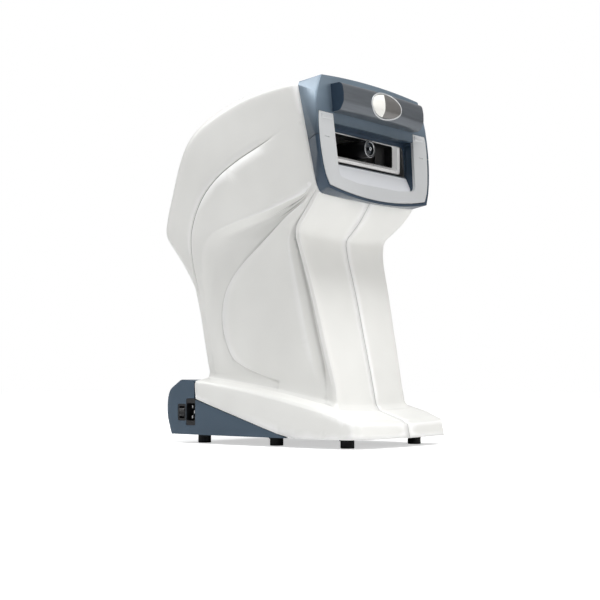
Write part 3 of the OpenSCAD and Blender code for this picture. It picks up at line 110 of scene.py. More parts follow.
class TonometerColours(PropertyGroup):
    """Colours of the finishes, and of the painted shade on the upper bezel and the painted reflection on the touch
    plate.
    """
    shell: colour("Shells", 236, 236, 233)
    shell_shade: colour("Shell's second tone", 229, 229, 226)
    cover: colour("Rear base cover", 66, 85, 102)
    upper: colour("Upper bezel", 128, 145, 160)
    # Painted shade: the tone that the lower part of the upper bezel is darkened to
    upper_shade: colour("Lower part of the upper bezel", 46, 61, 76)
    lower: colour("Lower bezel", 56, 74, 92)
    rest: colour("Forehead rest", 112, 117, 123)
    # Painted reflection: the bright half of the touch plate stands for a reflection on it
    plate_reflection: colour("Bright half of the touch plate", 244, 243, 238)
    plate_grey: colour("Grey half of the touch plate", 128, 126, 124)
    face: colour("Face frame", 208, 210, 212)
    sill: colour("Sill", 208, 210, 214)
    bevel: colour("Window bevel", 246, 246, 246)
    window: colour("Window", 5, 6, 8)
    rubber: colour("Rubber", 20, 22, 26)
    black: colour("Black mouldings", 17, 18, 21)
    screen: colour("Display cover", 13, 16, 20)
    button: colour("Buttons", 190, 199, 208)
    steel: colour("Ground steel", 190, 192, 195)
    sheet: colour("Zinc-plated sheet", 168, 171, 172)
    alloy: colour("Milled alloy", 205, 207, 210)
    dark_alloy: colour("Black anodised alloy", 20, 21, 23)
    motor: colour("Motor stacks", 44, 45, 48)
    board: colour("Circuit boards", 24, 84, 56)
    brass: colour("Brass lever", 190, 160, 96)
    paper: colour("Paper", 240, 238, 232)


class TonometerSizes(PropertyGroup):
    """Sizes of the edges and trims."""
    edge: length("Edge rounding", 0.7, "Rounding of the mouldings' edges")
    frame_edge: length("Frame edge rounding", 1.1, "Rounding of the face frame's edges")
    fine_edge: length("Fine edge rounding", 0.3, "Rounding of the small pieces' edges")
    rest_edge: length("Rest rounding", 1.6, "Rounding of the forehead rest's edges")
    # Width of the painted shade along the seam between the shells
    seam: length("Seam", 0.7, "Half the width of the darkened seam between the shells")
    # Heights between which the painted shade on the upper bezel goes from darkest to lightest
    shade_low: length("Shade's lower end", 392, "Height at which the upper bezel is darkest")
    shade_high: length("Shade's upper end", 452, "Height at which the upper bezel is lightest")
    rim: length("Oval rim", 1.2, "Half the width of the rim round the touch plate")
    oval_height: length("Oval height", 31, "Height of the oval touch plate")
    # Also the width of the bright alloy band painted on the barrel's rims as a painted highlight
    barrel_edge: length("Barrel edge", 2.2, "Rounding of the lens barrel's rims")
    # Painted shade: above this height the window surround is painted slate, standing for shade in the recess
    sill_top: length("Sill top", 370.4, "Height above which the window surround is slate")
    smoothing: IntProperty(name="Shell smoothing", description="Subdivision levels of the shells",
                           default=2, min=0, max=3)


class TonometerStage(PropertyGroup):
    """Camera and lamps."""
    eye: FloatVectorProperty(name="Camera place", description="Where the camera stands", subtype="XYZ",
                             unit="LENGTH", default=(-1.41768, -1.1320, 0.0891))
    look: FloatVectorProperty(name="Camera direction", description="Direction in which the camera looks",
                              subtype="DIRECTION", default=(0.77746, 0.62605, 0.06006))
    lens: FloatProperty(name="Lens", description="Focal length on a 36 mm sensor", unit="CAMERA",
                        default=78.28)
    key: FloatProperty(name="Key lamp", description="Power of the soft lamp overhead", default=35, min=0)
    fill: FloatProperty(name="Fill lamp", description="Power of the lamp on the patient's side",
                        default=11, min=0)
    rear: FloatProperty(name="Rear lamp", description="Power of the lamp behind the object",
                        default=12, min=0)
    world: FloatProperty(name="Surround", description="Level of the even light all round",
                         default=0.43, min=0)


# Node helpers

def node_group(name, inputs, outputs):
    """A new shader node group with float or vector sockets: (group, its input node, its output node)."""
    tree = bpy.data.node_groups.new(name, "ShaderNodeTree")
    for label, kind, default in inputs:
        socket = tree.interface.new_socket(name=label, in_out="INPUT", socket_type=kind)
        if default is not None:
            socket.default_value = default
    for label, kind in outputs:
        tree.interface.new_socket(name=label, in_out="OUTPUT", socket_type=kind)
    return tree, tree.nodes.new("NodeGroupInput"), tree.nodes.new("NodeGroupOutput")


def add(tree, kind, links=(), **values):
    """Adds a node, sets its attributes and socket defaults, and links (socket, source) pairs."""
    node = tree.nodes.new(kind)
    for key, value in values.items():
        if hasattr(node, key) and key not in node.inputs:
            setattr(node, key, value)
    for key, value in values.items():
        label = key.replace("_", " ")
        if label in node.inputs:
            node.inputs[label].default_value = value
    for socket, source in links:
        tree.links.new(source, node.inputs[socket])
    return node


def noise(tree, vector, scale, detail=2.0, roughness=0.5):
    """The value of a noise texture."""
    node = add(tree, "ShaderNodeTexNoise", [("Vector", vector)])
    node.inputs["Scale"].default_value = scale
    node.inputs["Detail"].default_value = detail
    node.inputs["Roughness"].default_value = roughness
    return node.outputs["Fac"]


def maths(tree, operation, first, second=None, clamp=False):
    """The result of a Math node on two values or sockets."""
    node = tree.nodes.new("ShaderNodeMath")
    node.operation = operation
    node.use_clamp = clamp
    for socket, value in zip(node.inputs, (first, second)):
        if value is None:
            continue
        if isinstance(value, (int, float)):
            socket.default_value = value
        else:
            tree.links.new(value, socket)
    return node.outputs[0]


def spread(tree, value, low, high, to_low, to_high):
    """A value brought from one range to another and clamped."""
    node = tree.nodes.new("ShaderNodeMapRange")
    tree.links.new(value, node.inputs["Value"])
    ends = (("From Min", low), ("From Max", high), ("To Min", to_low), ("To Max", to_high))
    for label, number in ends:
        if isinstance(number, (int, float)):
            node.inputs[label].default_value = number
        else:
            tree.links.new(number, node.inputs[label])
    return node.outputs["Result"]


def moulded_group():
    """Fine texture of an injection moulding: pebbled height, soft mottling and a slow drift of tone."""
    tree, given, out = node_group(
        "Moulded texture",
        [("Vector", "NodeSocketVector", None), ("Grain", "NodeSocketFloat", 900.0),
         ("Drift", "NodeSocketFloat", 9.0)],
        [("Height", "NodeSocketFloat"), ("Mottle", "NodeSocketFloat"), ("Drift", "NodeSocketFloat")])
    pebble = add(tree, "ShaderNodeTexNoise", [("Vector", given.outputs["Vector"]),
                                              ("Scale", given.outputs["Grain"])])
    fine = maths(tree, "MULTIPLY", given.outputs["Grain"], 0.31)
    mottle = add(tree, "ShaderNodeTexNoise", [("Vector", given.outputs["Vector"]), ("Scale", fine)])
    drift = add(tree, "ShaderNodeTexNoise", [("Vector", given.outputs["Vector"]),
                                             ("Scale", given.outputs["Drift"])])
    tree.links.new(pebble.outputs["Fac"], out.inputs["Height"])
    tree.links.new(mottle.outputs["Fac"], out.inputs["Mottle"])
    tree.links.new(spread(tree, drift.outputs["Fac"], 0.35, 0.65, 0.0, 1.0), out.inputs["Drift"])
    return tree


def brushed_group():
    """Fine parallel scratches: noise drawn out along one axis by the Stretch vector."""
    tree, given, out = node_group(
        "Brushed grain",
        [("Vector", "NodeSocketVector", None), ("Stretch", "NodeSocketVector", (20.0, 900.0, 900.0)),
         ("Turn", "NodeSocketVector", (0.0, 0.0, 0.0))],
        [("Height", "NodeSocketFloat"), ("Streak", "NodeSocketFloat")])
    turned = add(tree, "ShaderNodeMapping", [("Vector", given.outputs["Vector"]),
                                             ("Rotation", given.outputs["Turn"]),
                                             ("Scale", given.outputs["Stretch"])])
    fine = noise(tree, turned.outputs["Vector"], 1.0, 3.0, 0.6)
    broad = noise(tree, turned.outputs["Vector"], 0.23, 2.0)
    tree.links.new(fine, out.inputs["Height"])
    tree.links.new(maths(tree, "MULTIPLY", fine, broad), out.inputs["Streak"])
    return tree


def flake_group():
    """Metallic paint: small flakes that differ in tone, over a slow drift."""
    tree, given, out = node_group(
        "Paint flake",
        [("Vector", "NodeSocketVector", None), ("Grain", "NodeSocketFloat", 1600.0)],
        [("Flake", "NodeSocketFloat"), ("Height", "NodeSocketFloat"), ("Drift", "NodeSocketFloat")])
    cells = add(tree, "ShaderNodeTexVoronoi", [("Vector", given.outputs["Vector"]),
                                               ("Scale", given.outputs["Grain"])])
    brightness = add(tree, "ShaderNodeSeparateColor", [("Color", cells.outputs["Color"])])
    orange_peel = noise(tree, given.outputs["Vector"], 420.0, 1.0)
    drift = noise(tree, given.outputs["Vector"], 11.0, 1.0)
    tree.links.new(brightness.outputs["Red"], out.inputs["Flake"])
    tree.links.new(orange_peel, out.inputs["Height"])
    tree.links.new(spread(tree, drift, 0.35, 0.65, 0.0, 1.0), out.inputs["Drift"])
    return tree


def handling_group():
    """Faint marks of handling: sparse hairline scratches and wiped smudges, as a mask for roughness."""
    tree, given, out = node_group(
        "Handling marks",
        [("Vector", "NodeSocketVector", None), ("Amount", "NodeSocketFloat", 0.5)],
        [("Smudge", "NodeSocketFloat"), ("Scratch", "NodeSocketFloat")])
    smudge = noise(tree, given.outputs["Vector"], 34.0, 4.0, 0.62)
    wave = add(tree, "ShaderNodeMapping", [("Vector", given.outputs["Vector"])])
    wave.inputs["Rotation"].default_value = (0.4, 0.9, 0.6)
    wave.inputs["Scale"].default_value = (60.0, 900.0, 60.0)
    line = noise(tree, wave.outputs["Vector"], 1.0, 1.0)
    sparse = spread(tree, line, 0.72, 0.76, 0.0, 1.0)
    tree.links.new(maths(tree, "MULTIPLY", spread(tree, smudge, 0.42, 0.68, 0.0, 1.0),
                         given.outputs["Amount"]), out.inputs["Smudge"])
    tree.links.new(maths(tree, "MULTIPLY", sparse, given.outputs["Amount"]), out.inputs["Scratch"])
    return tree


GROUPS = {}


def group(tree, name, links=(), **values):
    """Places one of the shared node groups in a material."""
    if name not in GROUPS:
        GROUPS[name] = {"moulded": moulded_group, "brushed": brushed_group, "flake": flake_group,
                        "handling": handling_group}[name]()
    node = tree.nodes.new("ShaderNodeGroup")
    node.node_tree = GROUPS[name]
    for label, value in values.items():
        node.inputs[label.capitalize()].default_value = value
    for socket, source in links:
        tree.links.new(source, node.inputs[socket])
    return node


def mixed(tree, factor, first, second):
    """A colour between two colours or sockets."""
    node = tree.nodes.new("ShaderNodeMix")
    node.data_type = "RGBA"
    tree.links.new(factor, node.inputs["Factor"])
    for socket, value in ((node.inputs[6], first), (node.inputs[7], second)):
        if isinstance(value, tuple):
            socket.default_value = value
        else:
            tree.links.new(value, socket)
    return node.outputs[2]


def shaded(colour_value, share):
    """A colour made lighter (share over 1) or darker."""
    return tuple(min(1.0, channel * share) for channel in tuple(colour_value)[:3]) + (1.0,)


def new_material(name, **shader):
    """A Principled material with plain sockets set: (material, tree, shader, Object vector)."""
    material = bpy.data.materials.new(name)
    material.use_nodes = True
    tree = material.node_tree
    principled = tree.nodes["Principled BSDF"]
    for label, value in shader.items():
        principled.inputs[label.replace("_", " ")].default_value = value
    place = tree.nodes.new("ShaderNodeTexCoord")
    return material, tree, principled, place.outputs["Object"]


def bump(tree, principled, height, distance, strength=1.0):
    """Feeds a height into the shader's normal."""
    node = tree.nodes.new("ShaderNodeBump")
    node.inputs["Strength"].default_value = strength
    node.inputs["Distance"].default_value = distance
    tree.links.new(height, node.inputs["Height"])
    tree.links.new(node.outputs["Normal"], principled.inputs["Normal"])


def moulding(name, light, dark, rough, grain=900.0, depth=0.02, coat=0.0, crease_shade_and_highlight=0.0, seam=None):
    """A moulded plastic: two close tones, pebbles, smudges and, if asked, painted shade in grooves and along the
    seam and a painted highlight on convex edges.
    """
    material, tree, principled, place = new_material(name, Coat_Weight=coat, Coat_Roughness=0.3)
    texture = group(tree, "moulded", [("Vector", place)], grain=grain)
    marks = group(tree, "handling", [("Vector", place)], amount=0.4)
    tint = mixed(tree, texture.outputs["Drift"], tuple(light), tuple(dark))
    # Painted shade in concave places and a painted highlight on convex ones, both read from pointiness
    if crease_shade_and_highlight:
        bent = tree.nodes.new("ShaderNodeNewGeometry").outputs["Pointiness"]
        rise = add(tree, "ShaderNodeSeparateXYZ", [("Vector", place)]).outputs["Z"]
        share = spread(tree, rise, CREASE_SHADE_LOW, CREASE_SHADE_HIGH, CREASE_SHADE_LEAST * crease_shade_and_highlight, crease_shade_and_highlight)
        crease_shade = spread(tree, bent, CONCAVE_START, CONCAVE_FULL, 0.0, share)
        tint = mixed(tree, crease_shade, tint, shaded(dark, 0.25))
        crest_highlight = spread(tree, bent, CONVEX_START, CONVEX_FULL, 0.0, CREST_HIGHLIGHT)
        tint = mixed(tree, crest_highlight, tint, (1.0, 1.0, 1.0, 1.0))
    # Painted shade along the seam between the shells: a thin dark line on both sides of X = 0
    if seam:
        across = add(tree, "ShaderNodeSeparateXYZ", [("Vector", place)]).outputs["X"]
        seam_shade = spread(tree, maths(tree, "ABSOLUTE", across), seam * 0.4, seam, SEAM_SHADE, 0.0)
        tint = mixed(tree, seam_shade, tint, shaded(dark, 0.25))
    tree.links.new(tint, principled.inputs["Base Color"])
    base = spread(tree, texture.outputs["Mottle"], 0.3, 0.7, rough - 0.04, rough + 0.05)
    tree.links.new(maths(tree, "SUBTRACT", base, maths(tree, "MULTIPLY", marks.outputs["Smudge"], 0.12)),
                   principled.inputs["Roughness"])
    bump(tree, principled, texture.outputs["Height"], depth * MM)
    return material


def metallic_paint(name, base, metallic, rough, flake=0.12, coat=0.4, drift=0.05, shade_fade=None):
    """A metallic paint: flakes under a clear coat, orange peel and, if asked, painted shade: a darker tone low
    down that gives way to the paint higher up.
    """
    material, tree, principled, place = new_material(name, Coat_Weight=coat, Coat_Roughness=0.12)
    paint = group(tree, "flake", [("Vector", place)])
    marks = group(tree, "handling", [("Vector", place)], amount=0.5)
    speck = mixed(tree, paint.outputs["Flake"], shaded(base, 1 - flake), shaded(base, 1 + flake))
    cloud = mixed(tree, paint.outputs["Drift"], shaded(base, 1 + drift), shaded(base, 1 - drift))
    blend = tree.nodes.new("ShaderNodeMix")
    blend.data_type = "RGBA"
    blend.inputs["Factor"].default_value = 0.5
    tree.links.new(speck, blend.inputs[6])
    tree.links.new(cloud, blend.inputs[7])
    tint = blend.outputs[2]
    # Painted shade: the given tone below the lower height, giving way to the paint above the upper one
    if shade_fade:
        height = add(tree, "ShaderNodeSeparateXYZ", [("Vector", place)]).outputs["Z"]
        tint = mixed(tree, spread(tree, height, shade_fade[0], shade_fade[1], 1.0, 0.0), tint, tuple(shade_fade[2]))
    tree.links.new(tint, principled.inputs["Base Color"])
    tree.links.new(spread(tree, paint.outputs["Flake"], 0.0, 1.0, metallic - 0.15, metallic + 0.1),
                   principled.inputs["Metallic"])
    gloss = spread(tree, paint.outputs["Flake"], 0.0, 1.0, rough - 0.05, rough + 0.06)
    smudges = maths(tree, "MULTIPLY", marks.outputs["Smudge"], 0.06)
    tree.links.new(maths(tree, "ADD", gloss, smudges), principled.inputs["Roughness"])
    bump(tree, principled, paint.outputs["Height"], 0.012 * MM)
    return material


def brushed_metal(name, base, rough, stretch=(20.0, 900.0, 900.0), depth=0.01, contrast=0.16,
                  metallic=1.0):
    """A metal brushed along one axis."""
    material, tree, principled, place = new_material(name)
    grain = group(tree, "brushed", [("Vector", place)], stretch=stretch)
    marks = group(tree, "handling", [("Vector", place)], amount=0.6)
    streak = spread(tree, grain.outputs["Streak"], 0.12, 0.4, 0.0, 1.0)
    tint = mixed(tree, streak, shaded(base, 1 - contrast), shaded(base, 1 + contrast))
    tree.links.new(tint, principled.inputs["Base Color"])
    gloss = spread(tree, grain.outputs["Height"], 0.3, 0.7, rough - 0.06, rough + 0.08)
    scratches = maths(tree, "MULTIPLY", marks.outputs["Scratch"], 0.2)
    tree.links.new(maths(tree, "ADD", gloss, scratches), principled.inputs["Roughness"])
    principled.inputs["Metallic"].default_value = metallic
    bump(tree, principled, grain.outputs["Height"], depth * MM)
    return material


def finishes(colours, sizes):
    """The material of each of the record's slots, by slot name."""
    made = {
        # The shells carry painted shade in grooves, creases and seam, and a painted highlight on convex edges
        "shell_white": moulding("Warm white moulding", colours.shell, colours.shell_shade, 0.42,
                                coat=0.15, crease_shade_and_highlight=0.9, seam=sizes.seam),
        "slate_cover": moulding("Slate moulding", shaded(colours.cover, 1.05),
                                shaded(colours.cover, 0.93), 0.46, grain=1100.0, depth=0.03),
        # The upper bezel carries painted shade, darkest below shade_low and gone above shade_high
        "slate_light": metallic_paint("Pearl blue-grey paint", colours.upper, 0.65, 0.4, drift=0.2,
                                      shade_fade=(sizes.shade_low, sizes.shade_high, colours.upper_shade)),
        "slate_dark": metallic_paint("Slate metallic paint", colours.lower, 0.6, 0.36, drift=0.15),
        "rest_metal": brushed_metal("Brushed blue-grey rest", colours.rest, 0.34, contrast=0.08,
                                    metallic=0.8),
        "frame_silver": metallic_paint("Satin silver paint", colours.face, 0.4, 0.36, flake=0.05),
        "sill_grey": moulding("Light grey moulding", colours.sill, shaded(colours.sill, 0.95), 0.4),
        "bevel_white": moulding("White window bevel", colours.bevel, shaded(colours.bevel, 0.97), 0.35),
        "window_black": moulding("Black window moulding", colours.window,
                                 shaded(colours.window, 1.3), 0.62),
        "black_rubber": moulding("Black rubber", colours.rubber, shaded(colours.rubber, 0.75), 0.72,
                                 grain=1500.0, depth=0.05),
        "black_plastic": moulding("Black moulding", colours.black, shaded(colours.black, 1.25), 0.45,
                                  grain=1300.0, depth=0.03),
        "screen_glass": moulding("Display cover", colours.screen, shaded(colours.screen, 1.1), 0.08,
                                 grain=300.0, depth=0.001, coat=1.0),
        "button_grey": moulding("Button moulding", colours.button, shaded(colours.button, 0.95), 0.38),
        "steel": brushed_metal("Ground steel", colours.steel, 0.26),
        "plate_steel": metallic_paint("Zinc-plated sheet", colours.sheet, 0.8, 0.42, flake=0.2,
                                      coat=0.0),
        "alloy": brushed_metal("Milled alloy", colours.alloy, 0.34, stretch=(300.0, 40.0, 300.0)),
        "black_alloy": brushed_metal("Black anodised alloy", colours.dark_alloy, 0.38,
                                     stretch=(500.0, 60.0, 500.0), contrast=0.1, metallic=0.25),
        "motor_dark": metallic_paint("Motor stack", colours.motor, 0.6, 0.5, flake=0.15, coat=0.0),
        "board_green": moulding("Solder mask", colours.board, shaded(colours.board, 0.8), 0.3, coat=0.5),
        "brass_lever": brushed_metal("Turned brass", colours.brass, 0.3),
        "paper": moulding("Paper", colours.paper, shaded(colours.paper, 0.95), 0.85, grain=2400.0),
        "touch_metal": plate_with_reflection(colours),
        "lens_glass": coated_glass(),
    }
    return made


def plate_with_reflection(colours):
    """The touch plate: a darker brushed finish, with one half painted bright as a painted reflection; the two meet
    on an upright line.
    """
    material, tree, principled, place = new_material("Touch plate")
    grain = group(tree, "brushed", [("Vector", place)], stretch=(900.0, 900.0, 30.0))
    axes = add(tree, "ShaderNodeSeparateXYZ", [("Vector", place)])
    # side is 0 on the painted reflection and 1 on the brushed grey half
    side = spread(tree, axes.outputs["X"], REFLECTION_EDGE_START, REFLECTION_EDGE_END, 0.0, 1.0)
    grey = mixed(tree, grain.outputs["Height"], shaded(colours.plate_grey, 0.9),
                 shaded(colours.plate_grey, 1.12))
    tree.links.new(mixed(tree, side, tuple(colours.plate_reflection), grey), principled.inputs["Base Color"])
    tree.links.new(maths(tree, "MULTIPLY", side, 0.65), principled.inputs["Metallic"])
    gloss = spread(tree, grain.outputs["Height"], 0.3, 0.7, 0.3, 0.4)
    tree.links.new(gloss, principled.inputs["Roughness"])
    bump(tree, principled, grain.outputs["Height"], 0.008 * MM)
    return material


def coated_glass():
    """Lens glass with a thin blue-green coating that shows towards the edge."""
    material, tree, principled, place = new_material("Coated lens glass", Roughness=0.03, IOR=1.5,
                                                     Transmission_Weight=0.85, Coat_Weight=1.0)
    rim = add(tree, "ShaderNodeLayerWeight", Blend=0.35)
    drift = noise(tree, place, 60.0)
    tint = mixed(tree, maths(tree, "MULTIPLY", rim.outputs["Facing"], drift), (0.10, 0.13, 0.17, 1.0),
                 (0.10, 0.22, 0.30, 1.0))
    tree.links.new(tint, principled.inputs["Base Color"])
    return material


MATERIALS = {}


def finish_of(slot_name):
    """The material of a slot, made with all the others on first use."""
    if not MATERIALS:
        scene = bpy.context.scene
        MATERIALS.update(finishes(scene.tonometer_colours, scene.tonometer_sizes))
    return MATERIALS[slot_name]


# Mesh helpers

def cad_solid(node):
    """A bmesh of a CAD node with the corners of its loose triangles merged."""
    shape = bmesh.new()
    shape.from_mesh(frame["nodes"][node].data)
    bmesh.ops.remove_doubles(shape, verts=shape.verts, dist=MERGE)
    return shape


def flattened(shape, degrees=0.4):
    """Joins the triangles of each flat face."""
    bmesh.ops.dissolve_limit(shape, angle_limit=math.radians(degrees), verts=shape.verts,
                             edges=shape.edges, delimit=set())
    return shape


def sharp_edges(shape, degrees):
    """Edges whose faces meet at more than an angle."""
    limit = math.radians(degrees)
    joined = (edge for edge in shape.edges if len(edge.link_faces) == 2)
    return [edge for edge in joined if edge.calc_face_angle(0) > limit]


def soften(shape, width, degrees=28, segments=2):
    """Rounds the sharp edges of a shape."""
    bmesh.ops.bevel(shape, geom=sharp_edges(shape, degrees), offset=width, offset_type="OFFSET",
                    affect="EDGES", segments=segments, profile=0.5, clamp_overlap=True, material=-1)
    return shape


def smooth_shading(shape, degrees=32):
    """Smooth faces with hard lines only where the surface turns by more than an angle."""
    for face in shape.faces:
        face.smooth = True
    for edge in sharp_edges(shape, degrees):
        edge.smooth = False


def piece(shape, name, body, slot_name, replaced=()):
    """Turns a bmesh into a piece on a body, with a slot's finish, that may stand for CAD nodes."""
    mesh = bpy.data.meshes.new(name)
    shape.to_mesh(mesh)
    shape.free()
    made = bpy.data.objects.new(name, mesh)
    bpy.context.scene.collection.objects.link(made)
    mesh.materials.append(finish_of(slot_name))
    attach(made, body)
    if replaced:
        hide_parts(*replaced)
    return made


def softened_node(node, name, width, degrees=28, segments=2):
    """A CAD node's solid with rounded edges, standing for that node."""
    shape = soften(flattened(cad_solid(node)), width, degrees, segments)
    smooth_shading(shape)
    return weighted(piece(shape, name, BODY_OF[node], SLOT_OF[node], [node]))


def weighted(made):
    """Keeps the broad faces of a rounded piece flat in the light, so that only its edges turn."""
    normals = made.modifiers.new("Face normals", "WEIGHTED_NORMAL")
    normals.keep_sharp = True
    normals.weight = 60
    return made


# Shells

class TONOMETER_OT_shells(Operator):
    """The two moulded half shells, smoothed between their stations"""
    bl_idname = "tonometer.shells"
    bl_label = "Half shells"

    def execute(self, context):
        for node in ("left_shell", "right_shell"):
            shape = cad_solid(node)
            bmesh.ops.join_triangles(shape, faces=shape.faces, angle_face_threshold=math.radians(40),
                                     angle_shape_threshold=math.radians(70))
            crease = shape.edges.layers.float.new("crease_edge")
            for edge in shape.edges:
                if len(edge.link_faces) == 2:
                    angle = math.degrees(edge.calc_face_angle(0))
                    edge[crease] = min(1.0, max(0.0, angle / CREASE_ANGLE - CREASE_START))
            for face in shape.faces:
                face.smooth = True
            made = piece(shape, f"{node}_moulding", BODY_OF[node], SLOT_OF[node], [node])
            smoothing = made.modifiers.new("Smoothing", "SUBSURF")
            smoothing.levels = context.scene.tonometer_sizes.smoothing
            smoothing.render_levels = smoothing.levels
        return {"FINISHED"}


class TONOMETER_OT_rear_cover(Operator):
    """The slate cover of the base's rear and the printer's door in it"""
    bl_idname = "tonometer.rear_cover"
    bl_label = "Rear base cover"

    def execute(self, context):
        sizes = context.scene.tonometer_sizes
        softened_node("rear_base_cover", "rear_cover_moulding", sizes.fine_edge)
        softened_node("printer_door", "printer_door_moulding", sizes.fine_edge)
        return {"FINISHED"}


class TONOMETER_OT_bezels(Operator):
    """The pearl upper bezel and the slate lower bezel"""
    bl_idname = "tonometer.bezels"
    bl_label = "Bezels"

    def execute(self, context):
        for node in ("upper_bezel", "lower_bezel"):
            softened_node(node, f"{node}_casting", context.scene.tonometer_sizes.edge)
        return {"FINISHED"}


class TONOMETER_OT_face(Operator):
    """The face frame, the surround behind it and the shroud round the window"""
    bl_idname = "tonometer.face"
    bl_label = "Face"

    def execute(self, context):
        sizes = context.scene.tonometer_sizes
        softened_node("face_frame", "face_frame_plate", sizes.frame_edge, segments=3)
        surround = softened_node("window_surround", "window_surround_moulding", sizes.fine_edge)
        # Painted shade: the side walls and the upper part of the surround are painted slate, standing for shade in
        # the recess
        paint(surround, finish_of("slate_dark"),
              lambda face: abs(face.normal.x) > 0.4 or face.center.z > sizes.sill_top)
        softened_node("window_shroud", "window_shroud_bevel", sizes.fine_edge)
        softened_node("window_liner", "window_liner_moulding", sizes.fine_edge)
        return {"FINISHED"}


class TONOMETER_OT_forehead(Operator):
    """The forehead rest, its oval touch plate and the rim round it"""
    bl_idname = "tonometer.forehead"
    bl_label = "Forehead rest"

    def execute(self, context):
        sizes = context.scene.tonometer_sizes
        rest = soften(flattened(cad_solid("forehead_rest"), 1.2), sizes.rest_edge, 40, 4)
        smooth_shading(rest, 50)
        surface = BVHTree.FromBMesh(rest)
        moulding_piece = piece(rest, "forehead_rest_moulding", BODY_OF["forehead_rest"],
                               SLOT_OF["forehead_rest"], ["forehead_rest"])
        weighted(moulding_piece)
        paint(moulding_piece, finish_of("slate_dark"), lambda face: abs(face.normal.x) > 0.85)
        plate = soften(flattened(cad_solid("touch_plate"), 1.2), sizes.fine_edge, 40)
        smooth_shading(plate, 50)
        piece(plate, "touch_plate_metal", BODY_OF["touch_plate"], SLOT_OF["touch_plate"],
              ["touch_plate"])
        rim = oval_rim(surface, sizes)
        piece(rim, "touch_plate_rim", BODY_OF["forehead_rest"], "frame_silver")
        return {"FINISHED"}


def paint(made, material, test):
    """Gives a second material to the faces that pass a test."""
    made.data.materials.append(material)
    last = len(made.data.materials) - 1
    for face in made.data.polygons:
        if test(face):
            face.material_index = last


def swept(path, section):
    """A closed tube along a ring of (place, outward, up) with a section of (outward, up) points."""
    shape = bmesh.new()
    rings = [[shape.verts.new(place + side * across + rise * along) for across, along in section]
             for place, side, rise in path]
    for ring, after in zip(rings, rings[1:] + rings[:1]):
        for i, vert in enumerate(ring):
            j = (i + 1) % len(ring)
            shape.faces.new((vert, ring[j], after[j], after[i]))
    bmesh.ops.recalc_face_normals(shape, faces=shape.faces)
    for face in shape.faces:
        face.smooth = True
    return shape


def oval_rim(surface, sizes):
    """The rounded rim round the touch plate, laid on the surface of the forehead rest."""
    low, high = (Vector(corner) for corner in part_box("touch_plate"))
    press = Vector(JOINT["touch_plate_press"]["axis"]).normalized()
    middle = Vector(JOINT["touch_plate_press"]["pos_m"])
    rise = Vector((1, 0, 0)).cross(press).normalized()
    half_width, half_height = (high.x - low.x) / 2, sizes.oval_height / 2
    path = []
    for step in range(RIM_STEPS):
        turn = math.tau * step / RIM_STEPS
        across = Vector((math.cos(turn) * (half_width + sizes.rim), 0, 0))
        upward = rise * (math.sin(turn) * (half_height + sizes.rim))
        place = middle + across + upward - press * RIM_REACH
        found = surface.ray_cast(place, press)[0]
        outward = Vector((math.cos(turn) / half_width, 0, 0)) + rise * (math.sin(turn) / half_height)
        path.append(((found if found else place + press * RIM_REACH), outward.normalized(), -press))
    heights = [place.y for place, _, _ in path]
    if max(heights) - min(heights) > RIM_REACH:
        raise RuntimeError("the rim left the forehead rest")
    turns = [math.tau * i / RIM_SIDES for i in range(RIM_SIDES)]
    section = [(math.cos(turn) * sizes.rim, math.sin(turn) * sizes.rim * RIM_FLATNESS) for turn in turns]
    return swept(path, section)


class TONOMETER_OT_nozzle(Operator):
    """The lens barrel with its air nozzle and front lens, its front rims painted bright as a painted highlight,
    and the chamber with its front painted black as painted shade behind the window
    """
    bl_idname = "tonometer.nozzle"
    bl_label = "Nozzle"

    def execute(self, context):
        sizes = context.scene.tonometer_sizes
        barrel = softened_node("lens_barrel", "lens_barrel_turning", sizes.barrel_edge, segments=3)
        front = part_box("lens_barrel")[0][1]
        # Painted highlight: the barrel's front rims are painted bright alloy, standing for the highlights on them
        paint(barrel, finish_of("alloy"), lambda face: face.center.y < front + sizes.barrel_edge
              and abs(face.normal.y) < 0.97)
        softened_node("front_lens", "front_lens_glass", sizes.fine_edge)
        chamber = softened_node("air_chamber", "air_chamber_block", sizes.fine_edge)
        # Painted shade: the chamber's front is painted black so that the window in front of it reads dark
        paint(chamber, finish_of("black_alloy"), lambda face: face.normal.y < -0.5)
        return {"FINISHED"}


class TONOMETER_OT_display(Operator):
    """The operator's display with its buttons"""
    bl_idname = "tonometer.display"
    bl_label = "Display"

    def execute(self, context):
        sizes = context.scene.tonometer_sizes
        softened_node("display_bezel", "display_bezel_moulding", sizes.fine_edge)
        softened_node("display_window", "display_cover_glass", sizes.fine_edge)
        for number in range(1, 6):
            softened_node(f"control_button_{number}", f"control_button_{number}_cap", sizes.fine_edge)
        return {"FINISHED"}


class TONOMETER_OT_power(Operator):
    """The power inlet and switch"""
    bl_idname = "tonometer.power"
    bl_label = "Power inlet and switch"

    def execute(self, context):
        sizes = context.scene.tonometer_sizes
        for node in ("power_inlet", "switch_housing", "power_rocker"):
            softened_node(node, f"{node}_moulding", sizes.fine_edge)
        return {"FINISHED"}


class TONOMETER_OT_feet(Operator):
    """The rubber feet with rounded edges"""
    bl_idname = "tonometer.feet"
    bl_label = "Feet"

    def execute(self, context):
        softened_node("rubber_feet", "rubber_feet_moulding", context.scene.tonometer_sizes.edge)
        return {"FINISHED"}


class TONOMETER_OT_mechanism(Operator):
    """The finishes of the pieces inside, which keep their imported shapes"""
    bl_idname = "tonometer.mechanism"
    bl_label = "Mechanism"

    def execute(self, context):
        for node, solid in frame["nodes"].items():
            material = finish_of(SLOT_OF[node])
            if not solid.data.materials:
                solid.data.materials.append(material)
            for slot in solid.material_slots:
                slot.material = material
        return {"FINISHED"}


